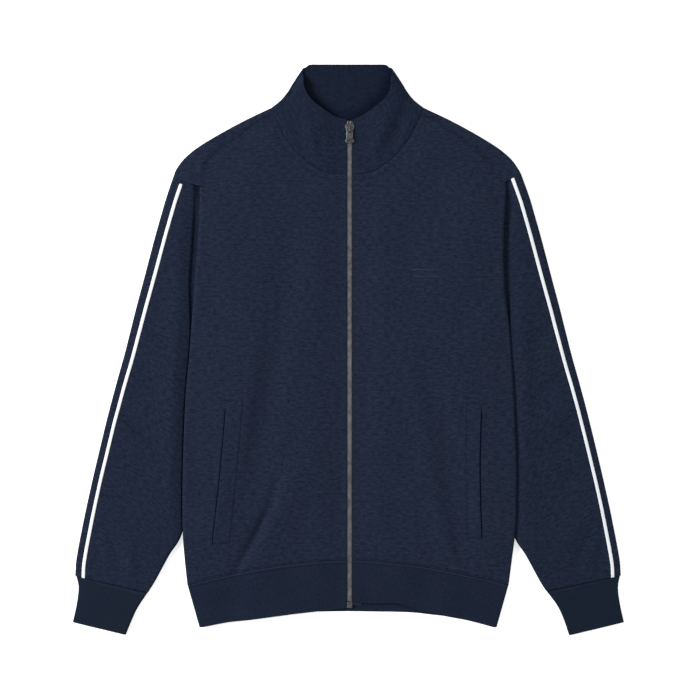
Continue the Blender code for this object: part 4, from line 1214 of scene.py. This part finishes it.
for hand, side in SIDES:
    low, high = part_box(f"zip_tape_{side}")
    across = np.linspace(low.x, high.x, 12) / MM
    down = COLLAR_TOP - np.linspace(high.y, low.y, 120) / MM
    beside = abs(across - ZIP_X)
    height = TAPE_LOW + TAPE_THICKNESS + TAPE_RIDGE * np.exp(-(((beside - TAPE_RIDGE_X) / 0.8) ** 2))
    grid = np.stack(np.broadcast_arrays(across, down[:, None], height), axis=-1)
    flat = grid[..., :2] - (ZIP_X, 0)
    skins = [(grid, flat, True)]
    name, node = f"zip_tape_cloth_{side}", f"zip_tape_{side}"
    cloth(name, node, "zip_tape", skins, TAPE_THICKNESS, 0.25, tape_cloth)

low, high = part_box("zip_chain")
middle = (low.z + high.z) / 2
runs = []
for way, start in ((-1, 0), (1, TOOTH_PITCH / 2)):
    ends = np.array((high.y - start * MM - CHAIN_TOP * MM, low.y - start * MM + CHAIN_END * MM))
    points = np.stack((np.full(2, ZIP_X * MM), ends, np.full(2, middle)), axis=-1)
    runs.append((points, np.tile((0, 0, 1), (2, 1)), np.tile((0, way, 0), (2, 1))))
teeth = set_along("zip_teeth", runs, tooth_stamp(), TOOTH_PITCH, gunmetal("zip_teeth_metal", 1))
garment_part(teeth, "zip_chain")
fittings_metal = gunmetal("zip_fittings_metal", 0.42)
for node, rounding in (("zip_stop_right", 0.4), ("zip_stop_left", 0.4), ("zip_box", 0.5)):
    garment_part(rounded_copy(node, f"{node}_metal", rounding, fittings_metal), node)

# ---------------------------------------------------------------- fronts
# Two fronts of sweat jersey, each turned round the body's side and sewn to the back underneath.
# Long soft creases run down to the hem, and the cloth stands full between the seams.

ZIP_EDGE = 3.95
NECK_LENGTH = 125  # of the front neck seam on one side
FRONT_ROWS = 168
FRONT_LENGTH = 600
TOP_SHARE = 1 / 7  # of a column, which follows the top seam and then runs down
ROLL_FADES = (0.84, 0.92)  # shares of the top seam between rolled and flat
FRONT_NECK_COLUMNS = 44
NECK_ROW = 8  # from the neck seam to its row of stitches
HEM_ROW = 2
POCKET_WELT = {
    # drop, inner stitched edge and open outer edge
    RIGHT: np.array(((466, 144.5, 166.5), (560, 153, 174.5), (660, 163, 185.5))),
    LEFT: np.array(((469.5, 165.7, 183.8), (560, 164.7, 181.6), (653, 166.7, 184))),
}


def zip_edge_x(hand):
    return ZIP_X * hand + ZIP_EDGE


def neck_line(hand, count):
    """The front neck seam, from the zip to the forward shoulder seam."""
    line = ((zip_edge_x(hand), FRONT_NECK[0][1]),) + FRONT_NECK[1:]
    return along(line, with_dense_start(count, NECK_LENGTH))


def neck_row(hand):
    """The row of stitches below the neck seam."""
    neck = neck_line(hand, FRONT_NECK_COLUMNS)
    row = neck - outward_from(neck) * NECK_ROW
    return row[row[:, 0] > zip_edge_x(hand) + 3] * (hand, 1)


def hem_row(hand):
    """The row of stitches above the hem seam."""
    x = np.linspace(zip_edge_x(hand) + 6, side_x(HEM_SEAM[-1, 1], hand) - 7, 60)
    return np.stack((x * hand, hem_seam(x) - HEM_ROW), axis=-1)


def welt_row(hand):
    """The stitches round a welt's top end, inner edge and lower end."""
    table = POCKET_WELT[hand]
    drop = np.linspace(table[0, 0] - 1.5, table[-1, 0] + 1.5, 20)
    inner = column_at(table, drop) - 1.5
    ends = (table[0, 2] - 1, drop[0]), (table[-1, 2] - 1, drop[-1])
    return np.concatenate((ends[:1], np.stack((inner, drop), axis=-1), ends[1:])) * (hand, 1)


def pocket_mouth(hand):
    """The slit beside a welt's open edge."""
    table = POCKET_WELT[hand]
    drop = np.linspace(table[0, 0] + 12, table[-1, 0] - 1, 20)
    return np.stack(((column_at(table, drop, 2) + 0.5) * hand, drop), axis=-1)


def side_turn(x, drop, low, high, hand):
    """Columns of places round a fold at the body's side."""
    return [flat_places(*place, hand) for place in turned((x, drop), (1, 0), low, high)]


def front_skin(hand):
    """Rows from the neck and shoulder to the hem seam; columns from the zip, round the side."""
    neck = neck_line(hand, FRONT_NECK_COLUMNS)
    top = np.concatenate((neck, shoulder_line(hand)))
    share = with_dense_ends(FRONT_ROWS, FRONT_LENGTH)[:, None]
    side_drop = blend(CORNER_DROP[hand] + GAP, HEM_SEAM[-1, 1], share)
    side = side_x(side_drop, hand)
    radius, low, high = side_fold(side_drop, hand)
    start = zip_edge_x(hand)
    spread = lengths_along(top) / lengths_along(top)[-1]
    across = blend((top[:, 0] - start) / (top[-1, 0] - start), spread, ease(share / TOP_SHARE))
    hem_x = blend(start, side[-1] - radius[-1], spread) + spread * radius[-1]
    drop = blend(top[:, 1] + GAP, hem_seam(hem_x), share)
    x = blend(start, side_x(np.maximum(drop, CORNER_DROP[hand]), hand) - radius, across)
    at_seam = 0.7 * (1 - ramp(spread, *ROLL_FADES))
    roll = at_seam * seam_roll(share * FRONT_LENGTH) + 0.5 * seam_roll((1 - share) * FRONT_LENGTH)
    height = front_under(x, drop, hand) + JERSEY + roll * zip_clearance(x, hand, *SEAM_CLEAR)
    front = flat_places(x, drop, height, hand)
    turn = side_turn(side - radius, side_drop, low, high + roll[:, -1:], hand)
    seam = np.minimum(back_edge_x(side_drop, hand) + GAP, side - radius - 2)
    under_x = [blend(side - radius, seam, part) for part in evenly(13)[1:]]
    under = [flat_places(x, side_drop, lifted(x, side_drop, hand, BACK_RAMP), hand) for x in under_x]
    places = np.concatenate([front[:, :-1]] + turn + under, axis=1)
    lengths = lengths_across(places)
    edge = front.shape[1] - 1
    across_flat = lengths - lengths[:, edge : edge + 1] + places[:, edge : edge + 1, 0] * hand
    flat_u = np.where(np.arange(places.shape[1]) < edge, places[..., 0] * hand, across_flat)
    return places, np.stack((flat_u * hand, places[..., 1]), axis=-1)


fronts = {}
for hand, side in SIDES:
    places, flat = front_skin(hand)
    skins = [(places, flat, hand == LEFT)]
    name, node = f"jersey_front_{side}", f"front_{side}"
    front = cloth(name, node, "body_jersey", skins, JERSEY, 0.4, body_jersey)
    declare_cut(front, skins)
    seam = shoulder_line(hand) * (hand, 1)
    # The stitched rows get grooves with painted shade, and the pocket slit gets painted shade.
    mark_sewn(front, [neck_row(hand), hem_row(hand), welt_row(hand)], [seam], [pocket_mouth(hand)])
    fronts[hand] = front

# ---------------------------------------------------------------- pocket welts
# A welt of the same jersey on each front. Its inner edge and ends are stitched flat to the
# front, and its outer edge stands open as the mouth of the pocket.

WELT_OPEN = 1.5  # height of the mouth's edge above the front
WELT_STITCHED = 0.35
welt_jersey = jersey("welt_jersey_heather", BODY_DARK, BODY_LIGHT)

for hand, side in SIDES:
    table = POCKET_WELT[hand]
    drop = np.linspace(table[0, 0], table[-1, 0], 64)[:, None]
    part = evenly(12)
    x = blend(column_at(table, drop), column_at(table, drop, 2), part)
    from_end = np.minimum(drop - table[0, 0], table[-1, 0] - drop)
    stand = ramp(from_end, 0, 14) * ease(part / 0.9)
    height = front_under(x, drop, hand) + JERSEY + blend(WELT_STITCHED, WELT_OPEN, stand)
    places = flat_places(x, drop, height, hand)
    skins = [(places, places[..., :2], hand == LEFT)]
    name, node = f"pocket_welt_cloth_{side}", f"pocket_welt_{side}"
    cloth(name, node, "body_jersey", skins, 1, 0.3, welt_jersey)

# ---------------------------------------------------------------- collar
# A funnel collar of doubled jersey, one piece from zip to zip round the neck. It folds at each
# side, and its front stands a little open over the inside of the back.

COLLAR_FOLD = ((106, 60.5), (92.4, 49.7), (83.2, 38.6), (76.5, 27.6), (69.4, 16.6), (62, 6))
COLLAR_OPENING = (
    (62, 6), (61.8, 18), (59.4, 33), (53.5, 45), (45, 54), (32, 63.5), (19, 71.5), (7.5, 76.6)
)
COLLAR_BACK_TOP = ((0, 0), (40, 0), (53, 0.5))
COLLAR_PINCH = 4.4  # the collar's two layers, doubled, at the top of its fold
COLLAR_PINCH_REACH = 17
COLLAR_SLIDE = 3.6  # the top edge goes round the fold at a slant
COLLAR_ROWS = 40
COLLAR_HEIGHT = 75
COLLAR_FRONT_COLUMNS = 48
COLLAR_BACK_COLUMNS = 30
COLLAR_SWELL = 6.2
COLLAR_CLEAR = (7, 40)
COLLAR_CREASE_CLEAR = (7, 20)
COLLAR_CREASES = (
    (((84, 50), (72, 84), (50, 137)), 9, -3),
    (((66, 44), (52, 88), (34, 126)), 9, 1.8),
    (((96, 72), (80, 98), (66, 118)), 7, 1.4),
    (((-80, 62), (-66, 100), (-54, 134)), 10, -2.2),
    (((-62, 50), (-50, 88), (-42, 120)), 9, 1.6),
    (((-44, 96), (-40, 112), (-34, 130)), 7, -1.8),
)


def collar_under(x, drop, share, hand):
    """The underside of the collar's front, which stands off the neck towards its top edge."""
    swell = COLLAR_SWELL * share * zip_clearance(x, hand, *COLLAR_CLEAR)
    folds = creased(x * hand, drop, COLLAR_CREASES) * zip_clearance(x, hand, *COLLAR_CREASE_CLEAR)
    folds = folds * np.sin(math.pi * np.clip(share, 0, 1) * 0.8 + 0.3)
    return front_under(x, drop, hand) + swell + folds


def collar_half(hand):
    """Rows from the top edge to the neck seam; columns from the zip to the middle of the back."""
    share = with_dense_ends(COLLAR_ROWS, COLLAR_HEIGHT)[::-1, None]
    up = share[:, 0]
    roll = seam_roll(share * COLLAR_HEIGHT)
    fold_line = along(COLLAR_FOLD, up)
    own = -outward_from(fold_line[::-1])[::-1]
    own *= np.sign(own[:, :1])
    _, shoulder_normal = shoulder_fold(hand)
    normal = blend(shoulder_normal[0], own, ramp(share, 0, 0.25))
    normal /= np.linalg.norm(normal, axis=1)[:, None]
    full = collar_under(*fold_line.T, up, hand) + DOUBLED
    high = blend(full, COLLAR_PINCH, ease(up * 1.2))
    axis = fold_line - normal * (high / 2 + GAP * (1 - up))[:, None]
    slide = np.stack((-normal[:, 1], normal[:, 0])) * COLLAR_SLIDE * ramp(up, 0.65, 1)
    turn = turned(axis.T, normal.T, 0, high, slide)

    low_line = neck_line(hand, COLLAR_FRONT_COLUMNS)
    opening = ((zip_edge_x(hand), COLLAR_OPENING[-1][1]),) + COLLAR_OPENING[-2:0:-1]
    opening += ((turn[0][0][0], turn[0][1][0]),)
    high_line = along(opening, with_dense_start(COLLAR_FRONT_COLUMNS, NECK_LENGTH))
    x, drop = (blend((low_line - (0, GAP))[:, axis], high_line[:, axis], share) for axis in (0, 1))
    fold_x, fold_drop = (place[:, None] for place in turn[0][:2])
    join = np.array((0.4, 0.75))
    x = np.concatenate((x[:, :-1], blend(x[:, -2:-1], fold_x, join)), axis=1)
    drop = np.concatenate((drop[:, :-1], blend(drop[:, -2:-1], fold_drop, join)), axis=1)
    from_fold = np.hypot(x - fold_x, drop - fold_drop)
    pinch = (full - high)[:, None] * (1 - ease(from_fold / COLLAR_PINCH_REACH))
    height = collar_under(x, drop, share, hand) + DOUBLED - pinch
    front = flat_places(x, drop, height + roll * zip_clearance(x, hand, *SEAM_CLEAR), hand)
    turn = np.stack([flat_places(*place, hand) for place in turn], axis=1)

    def back_line(points, row):
        """From the fold's end in that row to the middle of the back."""
        end = (abs(turn[row, -1, 0]), turn[row, -1, 1])
        return np.array(end), along(points + (end,), evenly(COLLAR_BACK_COLUMNS))[-2::-1]

    (low_end, low_line), (top_end, top_line) = back_line(BACK_NECK, -1), back_line(COLLAR_BACK_TOP, 0)
    settle = evenly(COLLAR_BACK_COLUMNS)[1:]
    lowered = np.array((0, GAP))
    x, drop = (blend((low_line - lowered)[:, axis], top_line[:, axis], share) for axis in (0, 1))
    end_x, end_drop = (blend((low_end - lowered)[axis], top_end[axis], share) for axis in (0, 1))
    off_x, off_drop = abs(turn[:, -1:, 0]) - end_x, turn[:, -1:, 1] - end_drop
    near = np.exp(-((settle * 6) ** 2))
    back_side = flat_places(x + off_x * near, drop + off_drop * near, 0, hand)
    return np.concatenate((front, turn, back_side), axis=1)


def joined(half):
    """The two halves side by side, and how far each column is from the middle one."""
    halves = [half(hand) for hand, _ in SIDES]
    places = np.concatenate((halves[0], halves[1][:, -2::-1]), axis=1)
    middle = halves[0].shape[1] - 1
    across = lengths_across(places)
    return places, np.broadcast_to((across - across[:, middle : middle + 1]).mean(axis=0), across.shape)


places, across = joined(collar_half)
along_rows = np.broadcast_to(lengths_along(places).mean(axis=1)[:, None], across.shape)
COLLAR_DARK = (0.0059, 0.0106, 0.0242)
COLLAR_LIGHT = (0.0157, 0.0212, 0.0388)
# Painted shade: the collar's inner side is a darker copy of its jersey, where shade falls inside the
# collar.
COLLAR_INSIDE_SHADED_DARK = (0.0060, 0.0100, 0.0224)
COLLAR_INSIDE_SHADED_LIGHT = (0.0113, 0.0158, 0.0304)
skins = [(places, np.stack((across, along_rows), axis=-1), False)]
outside = jersey("collar_jersey_heather", COLLAR_DARK, COLLAR_LIGHT)
# Painted shade: darker still towards the opening, from the mouth mask.
inside = jersey("collar_inside_jersey", COLLAR_INSIDE_SHADED_DARK, COLLAR_INSIDE_SHADED_LIGHT, sewn=(0, 0.5, 0.044))
collar = cloth("jersey_collar", "collar", "body_jersey", skins, DOUBLED, FOLD_ROUNDING, outside, inside)
opening = np.array(COLLAR_OPENING)
mouth = np.concatenate((opening * (RIGHT, 1), opening[::-1] * (LEFT, 1)))
MOUTH_LIT = 18  # the painted shade at the mouth is lighter at the wearer's right
mark_sewn(collar, FAR_AWAY, FAR_AWAY, [mouth], lit=MOUTH_LIT)
declare_cut(collar, skins)

# ---------------------------------------------------------------- hem band
# A band of fine rib, folded double, from zip to zip round the hem. The front ends are sewn to
# the zip and ride up a little, so the back's edge shows below them.

HEM_EDGE = np.array((
    # x, drop of the edge at the wearer's right front, the left front and the back
    (0, 751, 744, 755.8),
    (40, 755.2, 744.5, 756.3),
    (72, 758.8, 744.6, 756.8),
    (95, 761.8, 752, 758),
    (112, 764, 757.2, 760),
    (140, 767.6, 762.4, 763.2),
    (168, 770.5, 767.6, 768),
    (206, 777.6, 777.6, 777.6),
))
HEM_CORNER = {RIGHT: (204.5, 777.2), LEFT: (206, 777.6)}
HEM_ROWS = 26
HEM_HEIGHT = 58
HEM_LENGTH = 215  # of one front's part
HEM_GAP = -0.5  # the two edges are squeezed together
HEM_FRONT_COLUMNS = 110
HEM_BACK_COLUMNS = 90


def hem_half(hand):
    """Rows from the seam to the edge; columns from the zip to the middle of the back."""
    share = with_dense_ends(HEM_ROWS, HEM_HEIGHT)[:, None]
    seam_side = side_x(HEM_SEAM[-1, 1], hand)
    corner_x, corner_drop = HEM_CORNER[hand]
    edge = blend(seam_side, corner_x, share)
    side_drop = blend(HEM_SEAM[-1, 1] + HEM_GAP, corner_drop, share)
    ridge = 2.2 * seam_ridge(share * HEM_HEIGHT) + 0.6 * seam_roll(share * HEM_HEIGHT)
    radius, high = fold_radius_at(edge, side_drop, 0, DOUBLED + ridge, hand)
    start = zip_edge_x(hand)
    across = with_dense_ends(HEM_FRONT_COLUMNS, HEM_LENGTH)
    x = blend(start, edge - radius, across)
    seam_x = blend(start, seam_side - radius[0], across) + across * radius[0]
    edge_x = blend(start, corner_x - radius[-1], across) + across * radius[-1]
    edge_drop = column_at(HEM_EDGE, edge_x, OWN_COLUMN[hand])
    drop = blend(hem_seam(seam_x) + HEM_GAP, edge_drop, share)
    front = flat_places(x, drop, front_under(x, drop, hand) + DOUBLED + ridge, hand)
    turn = side_turn(edge - radius, side_drop, 0, high, hand)
    across = evenly(HEM_BACK_COLUMNS)[::-1]
    seam_x = across * back_edge_x(HEM_SEAM[-1, 1], hand)
    x = blend(seam_x, seam_x * corner_x / seam_side, share)
    drop = blend(back_hem_seam(across) + HEM_GAP, column_at(HEM_EDGE, x, 3), share)
    join = evenly(6)[1:-1]
    between_x = blend(edge - radius, x[:, :1], join)
    between = flat_places(between_x, blend(side_drop, drop[:, :1], join), 0, hand)
    back_side = flat_places(x, drop, 0, hand)
    return np.concatenate([front[:, :-1]] + turn + [between, back_side], axis=1)


places, across = joined(hem_half)
skins = [(places, np.stack((across, lengths_along(places)), axis=-1), False)]
HEM_DARK = (0.0038, 0.0081, 0.0202)
HEM_LIGHT = (0.0157, 0.0210, 0.0382)
hem_rib = rib("hem_band_rib", HEM_DARK, HEM_LIGHT)
hem_band = cloth("rib_hem_band", "hem_band", "rib_jersey", skins, DOUBLED, FOLD_ROUNDING, hem_rib)
declare_cut(hem_band, skins)

# ---------------------------------------------------------------- topstitching
# Rows of navy thread hold the seams down: below the neck seam, above the hem band, on both
# sides of the forward shoulder seams, round the pocket welts and along the zip.

STITCH_PITCH = 3
STITCH = ((-1.15, 0.05), (-0.8, 0.2), (0, 0.27), (0.8, 0.2), (1.15, 0.05))  # along, half width
STITCH_DEPTH = 0.12
SHOULDER_ROWS = 3  # from the forward shoulder seam
ZIP_ROW = 6.5  # from the front's edge
ZIP_ROW_ENDS = (160, 682)


def thread_stamp(name, outline, flatness):
    """One stitch: a thread that swells from both ends, a little flattened."""
    turns = np.radians(np.arange(0, 360, 60))
    rings = [
        [(place, half * math.cos(turn), half * flatness * math.sin(turn)) for turn in turns]
        for place, half in outline
    ]
    return lofted(name, rings)


def thread(name, color):
    """Twisted polyester thread with a slight gloss."""
    material, tree, shader = new_material(name, {"Roughness": 0.55, "Specular IOR Level": 0.35})
    place = put_node(tree, "ShaderNodeTexCoord").outputs["Object"]
    twist = noise_at(tree, place, 1500, 2)
    dark, light = ((*(share * part for part in color), 1) for share in (0.7, 1.3))
    tree.links.new(mix_of(tree, twist, dark, light), shader.inputs["Base Color"])
    return material


def upper_surface(piece):
    bm = bmesh.new()
    bm.from_mesh(piece.data)
    tree = BVHTree.FromBMesh(bm)
    bm.free()
    return tree


def seated(surface, path, depth):
    """A run of stitches along a path of signed (x, drop), on the cloth and sunk in it by depth."""
    length = lengths_along(np.asarray(path, float))[-1]
    places, ups = [], []
    for x, drop in along(path, evenly(max(int(length / STITCH_PITCH), 3))):
        above = Vector((x * MM, (COLLAR_TOP - drop) * MM, 0.05))
        hit, normal, _, _ = surface.ray_cast(above, Vector((0, 0, -1)))
        if hit is not None:
            places.append(hit - normal * depth * MM)
            ups.append(normal)
    places, ups = np.array(places), np.array(ups)
    return places, ups, np.gradient(places, axis=0)


def stitched(name, runs, stamp, pitch, material, scatter):
    """Rows of stitches that ride on the garment."""
    piece = set_along(name, runs, stamp, pitch, material, scatter)
    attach(piece, "garment")


runs = []
for hand, _ in SIDES:
    front, yoke = upper_surface(fronts[hand]), upper_surface(back)
    seam = shoulder_line(hand)
    beside = outward_from(seam) * SHOULDER_ROWS
    edge = (zip_edge_x(hand) + ZIP_ROW) * hand
    for surface, row in (
        (front, neck_row(hand)),
        (front, hem_row(hand)),
        (front, welt_row(hand)),
        (front, (seam - beside)[3:-3] * (hand, 1)),
        (yoke, (seam + beside)[3:-6] * (hand, 1)),
        (front, [(edge, drop) for drop in ZIP_ROW_ENDS]),
    ):
        runs.append(seated(surface, row, STITCH_DEPTH))
stamp = thread_stamp("stitch_stamp", STITCH, 0.7)
navy = thread("navy_thread", (0.009, 0.012, 0.023))
stitched("topstitching", runs, stamp, STITCH_PITCH, navy, 0.07)

# ---------------------------------------------------------------- chest mark
# Two fine plain rows of navy stitches, on the wearer's left chest.

# The two ends of each row: x and drop.
MARK_ROWS = (((86.5, 283.6), (123.5, 284.2)), ((91, 293.2), (125, 293.6)))
MARK_STITCH = ((-1.3, 0.08), (-0.9, 0.3), (0, 0.38), (0.9, 0.3), (1.3, 0.08))
MARK_PITCH = 2.7

surface = upper_surface(fronts[LEFT])
rows = [seated(surface, row, 0) for row in MARK_ROWS]
stamp = thread_stamp("mark_stamp", MARK_STITCH, 0.8)
mark_navy = thread("mark_thread", (0.03, 0.036, 0.056))
stitched("chest_rows", rows, stamp, MARK_PITCH, mark_navy, 0.02)

# ---------------------------------------------------------------- slider and pull tab
# The die-cast slider with its bridge, and the stamped pull tab with an oval eye that swings on
# it. Both are plated like the teeth.

slider = rounded_copy("zip_slider", "zip_slider_metal", 0.35, fittings_metal)
garment_part(slider, "zip_slider")
pull = rounded_copy("zip_pull", "zip_pull_metal", 0.3, fittings_metal)
garment_part(pull, "zip_pull", "pull_tab")

# ---------------------------------------------------------------- floor, light and camera
bm = bmesh.new()
bmesh.ops.create_grid(bm, x_segments=1, y_segments=1, size=4)
floor_plane = object_from(bm, "floor")
floor_plane.location.z = -0.0005
WHITE = (1, 1, 1, 1)
GREY_WHITE = (0.9, 0.9, 0.9, 1)
white = {"Base Color": GREY_WHITE, "Roughness": 1, "Emission Color": WHITE, "Emission Strength": 0.6}
floor_plane.data.materials.append(new_material("floor_white", white)[0])

world = bpy.data.worlds.new("studio")
bpy.context.scene.world = world
world.use_nodes = True
sky = world.node_tree.nodes["Background"].inputs
sky["Color"].default_value = WHITE
sky["Strength"].default_value = 0.37


def softbox(name, location, size, power):
    """A rectangular lamp that faces the garment's middle."""
    light = bpy.data.lights.new(name, "AREA")
    light.shape = "RECTANGLE"
    light.size, light.size_y = size
    light.energy = power
    obj = add_object(name, light)
    obj.location = location
    obj.rotation_euler = (-Vector(location)).to_track_quat("-Z", "Y").to_euler()


softbox("softbox_key", (-2.8, 0.5, 2.1), (1.2, 1.6), 144)
softbox("softbox_fill", (2.6, 0.3, 1.7), (1.2, 2), 32)

camera_data = bpy.data.cameras.new("camera")
camera = add_object("camera", camera_data)
camera_data.lens = 85
camera_data.sensor_width = 36
camera.location = (0.00345, -0.00173, 0.006 + 0.966 / 36 * 85)
bpy.context.scene.camera = camera
bpy.context.scene.view_settings.view_transform = "Standard"
